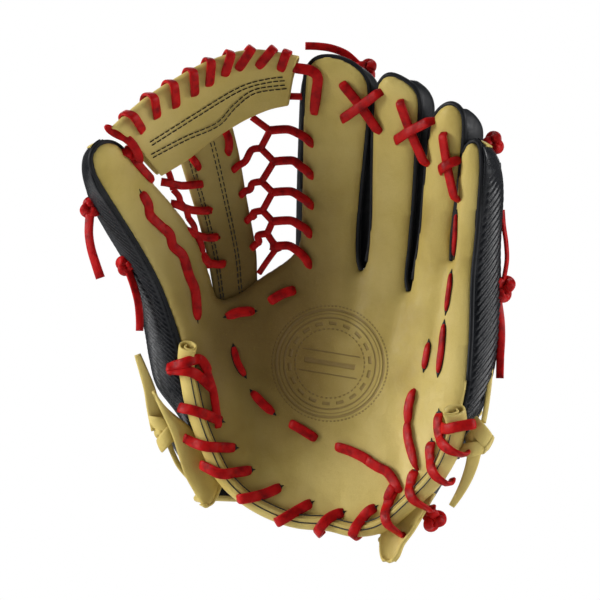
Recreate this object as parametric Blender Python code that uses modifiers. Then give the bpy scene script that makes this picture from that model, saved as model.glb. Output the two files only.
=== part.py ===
"""A fielder's glove for the left hand: leather shells, web, laces and the parts inside.

The glove stands upright, palm towards -Y and fingers towards +Z. The origin is in
the hand's opening at the wrist. Sizes are in millimetres, made metres by MM.
"""
import math

import bmesh
import bpy
from mathutils import Vector

for old in list(bpy.data.objects):
    bpy.data.objects.remove(old, do_unlink=True)

MM = 0.001

# The palm side is a bowl, and every layer lies a depth behind or before it.
BOWL_X = -15.0
BOWL_Z = 125.0
BOWL_FLOOR_Y = -10.0
BOWL_RIM = 63.0
BOWL_HALF_WIDTH = 125.0
BOWL_ABOVE = 190.0
BOWL_BELOW = 260.0

# Layers
LEATHER = 2.5
GAP = 0.6
PAD = 5.5
LINING = 1.2
SHELL = 2.4
SEAM = LEATHER + GAP + SHELL
STALL_DEPTH = 25.0
WRIST_DEPTH = 38.0
STRAP_SET_BACK = 8.0
THUMB_SIDE_BULGE = 13.0
PINKY_SIDE_BULGE = 2.5
INDEX_SIDE_BULGE = 4.0

# Laces, rolled edges and knots
LACE_R = 1.7
TAIL_R = 2.6
TIE_R = 3.2
BINDING_R = 5.0
BINDING_DEPTH = -0.5

# The fold line: the thumb side turns about it towards the fingers.
FOLD_BOTTOM = (-1.5, -27.0, -15.0)
FOLD_TOP = (-1.5, -49.0, 285.0)
THUMB_SIDE = ("thumb_", "web_", "index_lattice_lace")

# Fingers: x of the left and right edges at the base and at the tip, then base and tip z
FINGERS = {
    "index": ((0.4, 37.2), (2.0, 42.4), 148.0, 284.5),
    "middle": ((41.6, 68.2), (45.8, 75.0), 145.5, 271.5),
    "ring": ((72.4, 93.4), (78.8, 102.0), 143.5, 252.5),
    "pinky": ((94.6, 107.6), (101.8, 112.6), 141.5, 228.0),
}
TIP_ROUND = 17.0
THUMB_TAPER = 40.0

# Rows of an outline run from the bottom up, each a left and a right point (x, z).
PALM_ROWS = [
    ((0.4, -8.0), (44.0, -13.0)),
    ((0.4, 8.0), (69.0, 5.0)),
    ((0.4, 30.0), (89.0, 28.0)),
    ((0.4, 52.0), (91.5, 47.0)),
    ((0.4, 70.0), (102.0, 70.0)),
    ((0.4, 108.0), (107.5, 104.0)),
    ((0.4, 146.5), (107.5, 140.0)),
]
THUMB_PALM_ROWS = [
    ((-44.0, 19.0), (-3.4, -7.0)),
    ((-54.0, 38.0), (-3.4, 22.0)),
    ((-62.0, 62.0), (-3.4, 58.0)),
    ((-64.5, 84.0), (-3.4, 90.0)),
    ((-68.0, 96.5), (-3.4, 120.0)),
    ((-81.0, 109.0), (-3.4, 148.0)),
]
THUMB_ROWS = [
    ((-83.0, 111.5), (-55.0, 125.5)),
    ((-91.0, 138.0), (-58.5, 140.0)),
    ((-104.0, 163.0), (-66.0, 162.0)),
    ((-120.0, 190.0), (-80.0, 182.0)),
    ((-129.5, 207.0), (-95.0, 202.0)),
    ((-131.0, 218.0), (-110.0, 217.0)),
    ((-126.5, 226.0), (-118.0, 227.0)),
]
BAR_ROWS = [
    ((-92.0, 208.0), (-74.0, 217.0), (-58.0, 228.5), (-38.0, 241.5), (-21.0, 250.0), (-8.0, 253.5)),
    ((-107.0, 226.0), (-87.0, 242.0), (-68.0, 256.0), (-47.0, 266.0), (-27.0, 270.5), (-6.0, 271.0)),
    ((-121.0, 238.5), (-100.0, 256.0), (-78.0, 271.0), (-56.0, 282.5), (-32.0, 288.0), (-4.0, 286.5)),
]
POST_ROWS = [
    ((-54.0, 130.0), (-26.0, 144.5)),
    ((-59.0, 160.0), (-29.0, 171.0)),
    ((-66.0, 186.0), (-33.0, 194.0)),
    ((-75.0, 214.0), (-38.0, 224.0)),
    ((-78.0, 226.0), (-42.0, 240.0)),
]
BINDING_PINKY = [(102.0, 55.0), (98.0, 34.0), (88.0, 14.0), (72.0, -3.0), (54.0, -18.0),
                 (36.0, -22.0), (18.0, -18.5), (1.8, -17.0)]
BINDING_THUMB = [(-76.0, 94.0), (-73.5, 78.0), (-68.5, 54.0), (-60.0, 31.0), (-50.0, 11.5),
                 (-36.0, -2.0), (-20.0, -11.0), (-6.2, -15.6)]

# Colours, as a linear base colour and a roughness
CAMEL = ("camel_leather", (0.56, 0.43, 0.20), 0.5)
BLACK = ("black_leather", (0.012, 0.014, 0.018), 0.42)
RED = ("red_lace", (0.55, 0.01, 0.02), 0.45)
FELT = ("wool_felt", (0.62, 0.60, 0.55), 0.9)
HIDE = ("lining_leather", (0.30, 0.22, 0.13), 0.6)
STAY = ("stiff_board", (0.20, 0.20, 0.19), 0.7)

parts = bpy.data.collections.new("fielders_glove")
bpy.context.scene.collection.children.link(parts)


def bowl_y(x, z):
    """The palm side's y at x and z."""
    tall = BOWL_ABOVE if z > BOWL_Z else BOWL_BELOW
    across = ((x - BOWL_X) / BOWL_HALF_WIDTH) ** 2
    up = ((z - BOWL_Z) / tall) ** 2
    return BOWL_FLOOR_Y - BOWL_RIM * (across + up)


def layer(x, z, depth):
    """The point a depth behind the palm side, square to it when seen from above."""
    slope = -2.0 * BOWL_RIM * (x - BOWL_X) / BOWL_HALF_WIDTH ** 2
    length = math.hypot(slope, 1.0)
    return (x - depth * slope / length, bowl_y(x, z) + depth / length, z)


def glove_depth(z):
    """How deep the glove is behind the palm side at height z."""
    t = min(max((165.0 - z) / 110.0, 0.0), 1.0)
    return STALL_DEPTH + (WRIST_DEPTH - STALL_DEPTH) * t * t * (3.0 - 2.0 * t)


def material(finish):
    """The finish's material, made once."""
    name, colour, roughness = finish
    found = bpy.data.materials.get(name)
    if found:
        return found
    made = bpy.data.materials.new(name)
    made.use_nodes = True
    shader = made.node_tree.nodes["Principled BSDF"]
    shader.inputs["Base Color"].default_value = (*colour, 1.0)
    shader.inputs["Roughness"].default_value = roughness
    shader.inputs["Metallic"].default_value = 0.0
    return made


def add_object(name, data, finish):
    """A new object in the parts collection with its own copy of the finish."""
    made = bpy.data.objects.new(name, data)
    parts.objects.link(made)
    own = material(finish).copy()
    own.name = name + "_finish"
    data.materials.append(own)
    return made


def smooth(points, steps):
    """Points on a Catmull-Rom curve through the points given."""
    ends = [points[0], *points, points[-1]]
    found = []
    for k in range(1, len(ends) - 2):
        a, b, c, d = ends[k - 1:k + 3]
        for s in range(steps):
            t = s / steps
            found.append(tuple(
                0.5 * (2 * q + (r - p) * t + (2 * p - 5 * q + 4 * r - w) * t * t
                       + (3 * q - p - 3 * r + w) * t ** 3)
                for p, q, r, w in zip(a, b, c, d)))
    found.append(tuple(points[-1]))
    return found


def shell(name, grid, thickness, finish, inward=False):
    """A sheet through a grid of points, thickened behind it, or before it if inward."""
    work = bmesh.new()
    verts = [[work.verts.new([MM * value for value in point]) for point in row] for row in grid]
    for lower, upper in zip(verts, verts[1:]):
        for k in range(len(lower) - 1):
            work.faces.new((lower[k], lower[k + 1], upper[k + 1], upper[k]))
    data = bpy.data.meshes.new(name)
    work.to_mesh(data)
    work.free()
    made = add_object(name, data, finish)
    thick = made.modifiers.new("thickness", "SOLIDIFY")
    thick.thickness = thickness * MM
    thick.offset = 1.0 if inward else -1.0
    thick.use_even_offset = True
    return made


def along(row, share):
    """The point a share of the way along a row of points, counted by index."""
    at = share * (len(row) - 1)
    k = min(int(at), len(row) - 2)
    return tuple(p + (q - p) * (at - k) for p, q in zip(row[k], row[k + 1]))


def even_share(t):
    """Columns spaced evenly."""
    return t


def close_right(t):
    """Columns closer together towards the right edge."""
    return math.sin(0.5 * math.pi * t)


def close_left(t):
    """Columns closer together towards the left edge."""
    return 1.0 - math.cos(0.5 * math.pi * t)


def no_bulge(u):
    """Panels that stay within their rows."""
    return 0.0


def panel(name, rows, depth, thickness, finish, columns=6, steps=2, inward=False, spacing=even_share,
          bulge=no_bulge):
    """A leather panel within rows of an outline, at depth(share across, x, z), bulging sideways."""
    widest = max(len(row) for row in rows)
    even = [[along(row, k / (widest - 1)) for k in range(widest)] for row in rows]
    flat = [sum(row, ()) for row in even]
    levels = [[values[k:k + 2] for k in range(0, len(values), 2)] for values in smooth(flat, steps)]
    grid = []
    for level in levels:
        shares = [spacing(k / columns) for k in range(columns + 1)]
        spots = [(share, *along(level, share)) for share in shares]
        points = [(layer(x, z, depth(u, x, z)), bulge(u)) for u, x, z in spots]
        grid.append([(x + out, y, z) for (x, y, z), out in points])
    return shell(name, grid, thickness, finish, inward)


def flat_layer(depth):
    """A depth that is the same everywhere."""
    return lambda u, x, z: depth


def finger_rows(finger, inset):
    """A finger's outline from its base to its rounded tip."""
    (base_l, base_r), (tip_l, tip_r), z_base, z_tip = FINGERS[finger]
    straight = [z_base + (z_tip - TIP_ROUND - z_base) * k / 5 for k in range(6)]
    turns = [math.radians(angle) for angle in (30, 55, 75)]
    heights = [(z, 0.0) for z in straight]
    heights += [(z_tip - TIP_ROUND + TIP_ROUND * math.sin(a), 1.0 - math.cos(a)) for a in turns]
    rows = []
    for z, close in heights:
        t = (z - z_base) / (z_tip - z_base)
        left = base_l + (tip_l - base_l) * t + inset
        right = base_r + (tip_r - base_r) * t - inset
        squeeze = 0.5 * (right - left) * close
        rows.append(((left + squeeze, z), (right - squeeze, z)))
    return rows


def stall(name, rows, tip_z, finish, reach=TIP_ROUND, power=0.5, least=0.05, bulge=0.0):
    """The back of a finger: a hollow shell from one front seam round to the other."""
    grid = []
    for (xl, zl), (xr, zr) in rows:
        near_tip = max(0.0, 1.0 - (tip_z - zl) / reach)
        deep = STALL_DEPTH * max(1.0 - near_tip ** 2, least) ** power
        row = []
        for k in range(9):
            a = math.pi * k / 8
            share = 0.5 - 0.5 * math.cos(a)
            x, y, z = layer(xl + (xr - xl) * share, zl + (zr - zl) * share, SEAM + deep * math.sin(a) ** 0.6)
            row.append((x - bulge * math.sin(a) * (1.0 - share) ** 2, y, z))
        grid.append(row)
    return shell(name, grid, SHELL, finish, inward=True)


def tube(name, points, radius, finish, resolution=1):
    """A round lace or roll through points, with closed ends."""
    data = bpy.data.curves.new(name, "CURVE")
    data.dimensions = "3D"
    data.bevel_depth = radius * MM
    data.bevel_resolution = resolution
    data.use_fill_caps = True
    line = data.splines.new("POLY")
    line.points.add(len(points) - 1)
    for spot, point in zip(line.points, points):
        spot.co = (*(MM * value for value in point), 1.0)
    return add_object(name, data, finish)


def lace_on(name, route, depth, radius, finish, steps=3):
    """A lace that follows (x, z) points at a depth from the palm side."""
    return tube(name, [layer(x, z, depth) for x, z in smooth(route, steps)], radius, finish)


def ball(name, centre, radius, finish, squash=1.0):
    """A knot as a low round lump."""
    work = bmesh.new()
    bmesh.ops.create_uvsphere(work, u_segments=10, v_segments=6, radius=radius * MM)
    bmesh.ops.scale(work, vec=(1.0, squash, 1.0), verts=work.verts)
    data = bpy.data.meshes.new(name)
    work.to_mesh(data)
    work.free()
    made = add_object(name, data, finish)
    made.location = [MM * value for value in centre]
    return made


def wave(route, amplitude, turns):
    """A route that swings from side to side of another one."""
    line = smooth(route, 4)
    found = []
    for k, (x, z) in enumerate(line):
        x0, z0 = line[max(k - 1, 0)]
        x1, z1 = line[min(k + 1, len(line) - 1)]
        run = math.hypot(x1 - x0, z1 - z0)
        swing = amplitude * math.sin(2.0 * math.pi * turns * k / (len(line) - 1))
        found.append((x - swing * (z1 - z0) / run, z + swing * (x1 - x0) / run))
    return found


def add_fold():
    """An empty on the fold line, which the thumb side's pieces are parented to."""
    fold = bpy.data.objects.new("pocket_fold", None)
    fold.location = [MM * value for value in FOLD_BOTTOM]
    line = Vector(FOLD_TOP) - Vector(FOLD_BOTTOM)
    fold.rotation_euler = line.to_track_quat("Z", "Y").to_euler()
    parts.objects.link(fold)
    bpy.context.view_layer.update()
    for piece in parts.objects:
        if piece.name.startswith(THUMB_SIDE):
            piece.parent = fold
            piece.matrix_parent_inverse = fold.matrix_world.inverted()


def build_fingers():
    """Four finger fronts, continued from the palm leather, and their backs."""
    for finger, (_, _, _, z_tip) in FINGERS.items():
        panel(finger + "_front", finger_rows(finger, 0.0), flat_layer(0.0), LEATHER, CAMEL, 4, 1)
        bulge = INDEX_SIDE_BULGE if finger == "index" else 0.0
        stall(finger + "_back", finger_rows(finger, 0.3), z_tip, BLACK, bulge=2.0 * bulge)


def fullness(u):
    """How near a back panel is to its full depth, 0 at its seam (u = 1) and 1 away from it."""
    return max(1.0 - u ** 12, 0.0) ** 0.5


def curl_right(set_back):
    """A depth that is full at the fold and falls to the seam at the right edge."""
    def depth(u, x, z):
        return SEAM + set_back + glove_depth(z) * fullness(u)
    return depth


def curl_left(set_back):
    """A depth that is full at the fold and falls to the seam at the left edge."""
    def depth(u, x, z):
        return SEAM + set_back + glove_depth(z) * fullness(1.0 - u)
    return depth


def bulge_right(u):
    """How far the little finger's side stands out between its seam and the back."""
    return PINKY_SIDE_BULGE * math.sin(math.pi * fullness(u))


def bulge_left(u):
    """How far the thumb's side stands out between its seam and the back."""
    return -THUMB_SIDE_BULGE * math.sin(math.pi * fullness(1.0 - u))


def build_palm():
    """The palm leather with the pad, the lining and the heel behind it."""
    panel("palm_leather", PALM_ROWS, flat_layer(0.0), LEATHER, CAMEL, 8, 2)
    pad_rows = [((6.0, -4.0), (46.0, -8.0)), ((6.0, 30.0), (82.0, 28.0)), ((30.0, 62.0), (90.0, 60.0))]
    panel("heel_pad", pad_rows, flat_layer(LEATHER + 2 * GAP), PAD, FELT, 5, 2)
    lining_rows = [((4.0, -2.0), (40.0, -6.0)), ((4.0, 30.0), (80.0, 28.0)),
                   ((4.0, 70.0), (92.0, 68.0)), ((4.0, 134.0), (96.0, 130.0))]
    panel("palm_lining", lining_rows, flat_layer(LEATHER + PAD + 3 * GAP), LINING, HIDE, 5, 2)


def build_backs():
    """The back of the hand and the wrist strap, with the open back between them."""
    back_rows = [((3.0, 66.0), (106.5, 68.0)), ((3.0, 104.0), (107.2, 104.0)), ((3.0, 144.5), (107.2, 139.5))]
    panel("hand_back", back_rows, curl_right(0.0), SHELL, BLACK, 14, 2, True, close_right, bulge_right)
    strap_rows = [((3.0, -15.0), (44.0, -29.0)), ((3.0, 4.0), (70.0, -6.0)), ((3.0, 24.0), (82.0, 22.0)),
                  ((3.0, 36.0), (90.0, 36.0))]
    panel("wrist_strap", strap_rows, curl_right(STRAP_SET_BACK), SHELL, BLACK, 10, 1, True, close_right)
    thumb_rows = [((-64.0, 52.0), (-6.0, 66.0)), ((-72.0, 86.0), (-6.0, 100.0)),
                  ((-80.5, 108.5), (-6.0, 142.5))]
    panel("thumb_hand_back", thumb_rows, curl_left(1.5), SHELL, BLACK, 14, 2, True, close_left, bulge_left)
    wing_rows = [((-40.0, 2.0), (-6.0, -11.0)), ((-62.0, 16.0), (-6.0, 8.0)), ((-72.0, 36.0), (-6.0, 36.0))]
    panel("thumb_strap", wing_rows, curl_left(STRAP_SET_BACK), SHELL, BLACK, 9, 2, True, close_left)


def build_thumb():
    """The thumb's front and hollow back, and the palm leather below it."""
    panel("thumb_palm_leather", THUMB_PALM_ROWS, flat_layer(0.0), LEATHER, CAMEL, 7, 2)
    panel("thumb_front", THUMB_ROWS, flat_layer(0.0), LEATHER, CAMEL, 4, 1)
    stall("thumb_back", THUMB_ROWS, THUMB_ROWS[-1][0][1] + 1.5, BLACK, THUMB_TAPER, 1.1, 0.2)
    pad_rows = [((-38.0, 18.0), (-8.0, 2.0)), ((-56.0, 60.0), (-16.0, 50.0)), ((-60.0, 84.0), (-40.0, 84.0))]
    panel("thumb_pad", pad_rows, flat_layer(LEATHER + 2 * GAP), PAD, FELT, 5, 2)
    lining_rows = [((-40.0, 22.0), (-7.0, 0.0)), ((-56.0, 60.0), (-7.0, 56.0)),
                   ((-64.0, 96.0), (-7.0, 136.0))]
    panel("thumb_lining", lining_rows, flat_layer(LEATHER + PAD + 3 * GAP), LINING, HIDE, 5, 2)


def build_stays():
    """Stiff inserts behind the thumb and the little finger, and the loops for both."""
    thumb = [((-90.0, 142.0), (-68.0, 143.0)), ((-101.0, 162.0), (-76.0, 162.0)),
             ((-114.0, 188.0), (-92.0, 184.0))]
    panel("thumb_stay", thumb, flat_layer(LEATHER + GAP), 1.6, STAY, 3, 2)
    pinky = [((98.2, 146.0), (104.0, 146.0)), ((100.6, 176.0), (106.0, 176.0)),
             ((102.8, 204.0), (107.4, 204.0))]
    panel("pinky_stay", pinky, flat_layer(LEATHER + GAP), 1.6, STAY, 3, 2)
    thumb_loop = [layer(x, z, 16.0) for x, z in ((-60.0, 74.0), (-52.0, 86.0), (-40.0, 92.0), (-28.0, 88.0))]
    tube("thumb_loop", smooth(thumb_loop, 3), 1.8, HIDE)
    pinky_loop = [layer(x, z, 16.0) for x, z in ((90.0, 88.0), (80.0, 100.0), (68.0, 104.0), (56.0, 98.0))]
    tube("pinky_loop", smooth(pinky_loop, 3), 1.8, HIDE)


def build_web():
    """The web: a rolled bar across the top, a post under it, and the laces that hold them."""
    panel("web_bar", BAR_ROWS, flat_layer(-4.0), 8.0, CAMEL, 12, 2)
    panel("web_post", POST_ROWS, flat_layer(5.0), 3.5, CAMEL, 4, 2)
    top = [(-120.0, 245.0), (-102.0, 260.5), (-79.0, 275.3), (-56.0, 286.2), (-32.0, 291.8), (-8.0, 291.0)]
    lace_on("web_bar_lace", top, 0.0, LACE_R, RED, 4)
    zigzag = [(-26.0, 238.0), (-20.0, 232.0), (-24.0, 222.0), (-17.0, 214.0), (-24.0, 202.0),
              (-17.0, 194.0), (-23.0, 182.0), (-17.0, 174.0), (-20.0, 160.0)]
    lace_on("index_lattice_lace", zigzag, 3.0, LACE_R, RED, 2)
    inner = [(-85.0, 205.0), (-78.5, 194.0), (-72.5, 183.0), (-67.0, 174.0)]
    lace_on("thumb_lattice_lace", inner, 3.0, 1.4, RED, 3)
    thumb_line = [(-104.0, 192.0), (-90.0, 172.0), (-80.0, 152.0), (-70.0, 126.0)]
    lace_on("thumb_face_lace", thumb_line, -2.4, LACE_R, RED, 3)


def build_heel():
    """The rolled binding round the heel in two halves, and its laces."""
    lace_on("heel_binding", BINDING_PINKY, BINDING_DEPTH, BINDING_R, CAMEL, 4)
    lace_on("thumb_heel_binding", BINDING_THUMB, BINDING_DEPTH, BINDING_R, CAMEL, 4)
    lace_depth = BINDING_DEPTH - BINDING_R - LACE_R - 0.4
    lace_on("heel_lace", wave(BINDING_PINKY[1:], 4.0, 5.0), lace_depth, LACE_R, RED, 1)
    lace_on("thumb_heel_lace", wave(BINDING_THUMB[1:-1], 4.0, 5.0), lace_depth, LACE_R, RED, 1)
    lobe_rows = [((51.0, -40.0), (58.5, -40.0)), ((47.0, -29.0), (70.0, -22.5)), ((66.0, -10.0), (92.0, 2.0))]
    panel("heel_lobe", lobe_rows, flat_layer(7.6), 2.6, CAMEL, 5, 2)
    wing_rows = [((-60.0, -6.0), (-40.0, -7.0)), ((-72.0, 14.0), (-50.0, 22.0)),
                 ((-82.0, 42.0), (-64.0, 46.0))]
    panel("thumb_heel_wing", wing_rows, flat_layer(7.6), 2.6, CAMEL, 4, 2)


def build_face_laces():
    """The laces that show on the palm side of the fingers and the palm."""
    tips = [(4.0, 271.0), (12.0, 262.0), (30.0, 268.0), (42.0, 252.0), (54.0, 262.0),
            (70.0, 240.0), (84.0, 244.0), (96.0, 222.0), (106.0, 214.0)]
    lace_on("fingertip_lace", tips, -2.4, LACE_R, RED, 3)
    palm_line = [(24.0, 31.0), (42.0, 24.0), (58.0, 15.0), (64.0, 6.0), (62.0, 0.0)]
    lace_on("palm_lace", palm_line, -2.4, LACE_R, RED, 3)
    pinky_line = [(75.0, 67.0), (72.0, 48.0), (72.5, 31.0), (77.0, 19.0)]
    lace_on("pinky_heel_lace", pinky_line, -2.4, LACE_R, RED, 3)
    left_line = [(-42.0, 116.0), (-43.0, 92.0), (-30.0, 62.0), (-8.0, 38.0)]
    lace_on("thumb_palm_lace", left_line, -2.4, LACE_R, RED, 3)


# Free ends of laces: each runs away from its knot, as (x, y, z).
TOP_TAIL = [(36.5, -22.0, 282.5), (30.0, -23.0, 288.0), (21.0, -24.0, 291.5),
            (12.0, -25.0, 292.8), (3.5, -26.0, 293.0)]
THUMB_TAIL = [(-136.5, -44.0, 180.5), (-137.0, -44.0, 170.0), (-135.5, -44.0, 160.0),
              (-132.5, -44.0, 150.0), (-129.5, -44.0, 141.0)]
THUMB_LOW_TAIL = [(-111.5, -24.5, 143.5), (-108.5, -25.0, 135.0), (-106.0, -25.0, 125.0),
                  (-105.0, -25.0, 115.0), (-105.0, -25.0, 106.5)]
PINKY_TAIL = [(132.5, -47.0, 142.5), (134.0, -48.0, 153.0), (133.4, -49.0, 164.0),
              (131.8, -50.0, 175.0), (131.0, -51.0, 185.0)]
PINKY_LOW_TAIL = [(128.5, -47.0, 126.5), (130.2, -47.0, 114.0), (130.5, -47.0, 102.0),
                  (129.8, -47.0, 90.0), (129.5, -47.0, 76.0)]
THUMB_TIE_TAIL = [(-94.0, -12.0, 46.0), (-96.5, -13.0, 56.0), (-99.0, -14.0, 68.0),
                  (-103.0, -14.0, 80.0), (-107.0, -14.0, 91.0)]
PINKY_TIE_TAIL = [(112.5, -64.2, 31.0), (110.5, -63.5, 21.0), (107.0, -62.5, 11.0),
                  (102.5, -62.0, 2.0), (97.5, -61.5, -6.0)]


def build_tails():
    """Knots and their free ends, and the wrist ties."""
    ball("index_knot", (43.0, -22.0, 277.5), 6.5, RED, 0.7)
    tube("index_tail", smooth(TOP_TAIL, 3), TAIL_R, RED)
    ball("thumb_knot", (-136.0, -44.0, 186.5), 5.6, RED)
    tube("thumb_tail", smooth(THUMB_TAIL, 3), TAIL_R, RED)
    ball("thumb_low_knot", (-114.4, -24.0, 149.5), 5.8, RED)
    tube("thumb_low_tail", smooth(THUMB_LOW_TAIL, 3), TAIL_R, RED)
    ball("pinky_top_knot", (124.5, -54.0, 228.0), 5.6, RED)
    tube("pinky_tail", smooth(PINKY_TAIL, 3), TAIL_R, RED)
    ball("pinky_knot", (131.0, -47.0, 134.5), 7.0, RED)
    tube("pinky_low_tail", smooth(PINKY_LOW_TAIL, 3), TAIL_R, RED)
    ball("heel_knot", (86.5, -45.5, -15.5), 7.4, RED)
    ball("thumb_wrist_tie", (-90.5, -10.0, 37.0), 8.0, CAMEL, 0.6)
    tube("thumb_tie_tail", smooth(THUMB_TIE_TAIL, 3), TIE_R, CAMEL)
    ball("pinky_wrist_tie", (116.3, -66.0, 40.8), 8.2, CAMEL, 0.6)
    tube("pinky_tie_tail", smooth(PINKY_TIE_TAIL, 3), TIE_R, CAMEL)


build_fingers()
build_palm()
build_backs()
build_thumb()
build_stays()
build_web()
build_heel()
build_face_laces()
build_tails()
add_fold()
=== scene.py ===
"""The looks of the fielder's glove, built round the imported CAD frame.

Lengths are in millimetres, made metres by MM. A place on the glove is (x, z) with a
depth behind the palm side; points in front of the palm side have a negative depth.
"""

import math

import bmesh
import bpy
import numpy as np
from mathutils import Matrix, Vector, noise


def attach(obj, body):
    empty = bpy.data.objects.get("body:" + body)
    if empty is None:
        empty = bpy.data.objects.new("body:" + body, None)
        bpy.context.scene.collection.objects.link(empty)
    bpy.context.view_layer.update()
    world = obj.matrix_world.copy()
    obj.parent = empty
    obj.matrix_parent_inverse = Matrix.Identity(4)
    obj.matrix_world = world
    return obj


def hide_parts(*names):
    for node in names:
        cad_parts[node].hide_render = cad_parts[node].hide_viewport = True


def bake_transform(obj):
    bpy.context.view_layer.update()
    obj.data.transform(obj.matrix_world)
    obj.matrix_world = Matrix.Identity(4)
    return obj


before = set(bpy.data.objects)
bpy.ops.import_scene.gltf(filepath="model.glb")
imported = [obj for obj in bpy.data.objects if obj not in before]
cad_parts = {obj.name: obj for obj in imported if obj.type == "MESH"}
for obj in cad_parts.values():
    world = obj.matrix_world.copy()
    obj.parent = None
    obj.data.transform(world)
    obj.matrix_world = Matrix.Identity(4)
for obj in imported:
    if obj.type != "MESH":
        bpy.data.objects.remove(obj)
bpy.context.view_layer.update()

MM = 0.001

# The palm side's bowl, as the CAD has it
BOWL_X = -15.0
BOWL_Z = 125.0
BOWL_FLOOR_Y = -10.0
BOWL_RIM = 63.0
BOWL_HALF_WIDTH = 125.0
BOWL_ABOVE = 190.0
BOWL_BELOW = 260.0
SEAM = 5.5
STALL_DEPTH = 25.0
WRIST_DEPTH = 38.0

# Leather and laces
HIDE = 2.5
SHELL = 2.0
EDGE_DEPTH = 2.6
CROWN = 5.4
CROWN_REACH = 13.0
LACE_WIDE = 6.2
LACE_THICK = 2.3
FACE_LACE_DEPTH = -4.2
CROSS_DEPTH = -4.6
# The width and thickness of each kind of strip
CROSS_SIZE = (6.6, 2.5)
RIDGE_SIZE = (3.4, 2.2)
PIPING_SIZE = (2.6, 2.4)
WELT_SIZE = (3.4, 3.4)
RIM_SIZE = (2.6, 3.0)
SEAM_THREAD_SIZE = (0.9, 0.5)
STEM_SIZE = (5.0, 2.6)
STRING_SIZE = (3.6, 2.0)
BINDING_R = 5.4
BINDING_DEPTH = -0.5
GRID_STEP = 2.4


# --- the glove's form -------------------------------------------------------

def bowl_y(x, z):
    """The palm side's y at x and z."""
    tall = BOWL_ABOVE if z > BOWL_Z else BOWL_BELOW
    across = ((x - BOWL_X) / BOWL_HALF_WIDTH) ** 2
    up = ((z - BOWL_Z) / tall) ** 2
    return BOWL_FLOOR_Y - BOWL_RIM * (across + up)


def inward(x):
    """The direction in which depth grows at x, seen from above."""
    slope = -2.0 * BOWL_RIM * (x - BOWL_X) / BOWL_HALF_WIDTH ** 2
    return Vector((-slope, 1.0, 0.0)).normalized()


def layer(x, z, depth):
    """The point a depth behind the palm side."""
    way = inward(x)
    return Vector((x + depth * way.x, bowl_y(x, z) + depth * way.y, z))


def glove_depth(z):
    """How deep the glove is behind the palm side at height z."""
    t = min(max((165.0 - z) / 110.0, 0.0), 1.0)
    return STALL_DEPTH + (WRIST_DEPTH - STALL_DEPTH) * t * t * (3.0 - 2.0 * t)


def smooth(points, steps):
    """Points on a Catmull-Rom curve through the points given."""
    ends = [points[0], *points, points[-1]]
    found = []
    for k in range(1, len(ends) - 2):
        a, b, c, d = ends[k - 1:k + 3]
        for s in range(steps):
            t = s / steps
            found.append(tuple(
                0.5 * (2 * q + (r - p) * t + (2 * p - 5 * q + 4 * r - w) * t * t
                       + (3 * q - p - 3 * r + w) * t ** 3)
                for p, q, r, w in zip(a, b, c, d)))
    found.append(tuple(points[-1]))
    return found


def along(row, share):
    """The point a share of the way along a row of points, counted by index."""
    at = share * (len(row) - 1)
    k = min(int(at), len(row) - 2)
    return tuple(p + (q - p) * (at - k) for p, q in zip(row[k], row[k + 1]))


# Outlines on the palm side, as (x, z)
BINDING_THUMB = [(-76, 94), (-73.5, 78), (-68.5, 54), (-60, 31), (-50, 11.5), (-36, -2), (-20, -11),
                 (-5, -16)]
BINDING_PINKY = [(102, 55), (98, 34), (88, 14), (72, -3), (54, -18), (36, -22), (18, -18.5), (1, -17)]
THUMB_OUTER = [(-80, 108), (-91, 138), (-104, 163), (-120, 190), (-129.5, 207), (-131.5, 218)]
THUMB_TIP = [(-127.5, 225.5), (-121, 228), (-114, 225.5)]
THUMB_INNER = [(-93.6, 203), (-77, 183), (-64.5, 163), (-57.5, 141), (-52.5, 128)]
WEB_BASE = [(-40, 131.5), (-26, 142), (-13, 150.5), (-4.5, 158), (-0.5, 168)]
INDEX_EDGE = [(0.7, 200), (1.5, 240), (2.5, 266), (4.5, 277), (11, 283.3), (22, 283.6), (32, 279.6),
              (39.7, 273), (43.4, 263), (42.6, 240), (39.4, 205), (37.2, 180), (36.4, 162), (37.2, 152)]
GAP_ONE = [(38.8, 146.5)]
MIDDLE_EDGE = [(42.2, 152), (44.2, 164), (45.4, 182), (45.6, 205), (46, 240), (47.6, 260), (51.5, 269),
               (57, 271.6), (66, 267.5), (72.8, 261), (75.2, 251), (73.8, 230), (71.8, 192), (69.7, 165),
               (68.0, 148), (67.6, 140)]
GAP_TWO = [(68.9, 132.5)]
RING_EDGE = [(71.6, 140), (73.4, 152), (76.0, 170), (78.0, 195), (80.4, 225), (82.5, 240), (87, 248.5),
             (93.5, 252), (99.5, 248.5), (102.2, 239), (101, 215), (98.2, 190), (95.6, 165)]
GAP_THREE = [(95.6, 152)]
PINKY_EDGE = [(96.3, 168), (98.9, 190), (100.3, 212), (102, 221), (105, 226), (108.5, 228), (111.8, 225),
              (113, 214), (112.8, 200), (111, 170), (108.4, 140), (107.4, 104), (105.5, 75)]
HEEL_EDGE = BINDING_PINKY[:-1] + [(-2, -16.7)]


def palm_outline():
    """The palm hide's outline: heel, thumb, web edge, four fingers and back to the heel."""
    thumb = smooth(BINDING_THUMB[::-1] + THUMB_OUTER + THUMB_TIP + THUMB_INNER + WEB_BASE + INDEX_EDGE, 4)
    middle = smooth(GAP_ONE + MIDDLE_EDGE, 4)
    ring = smooth(GAP_TWO + RING_EDGE, 4)
    pinky = smooth(GAP_THREE + PINKY_EDGE + HEEL_EDGE, 4)
    return np.array(thumb + middle + ring + pinky)


OUTLINE = palm_outline()


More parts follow.
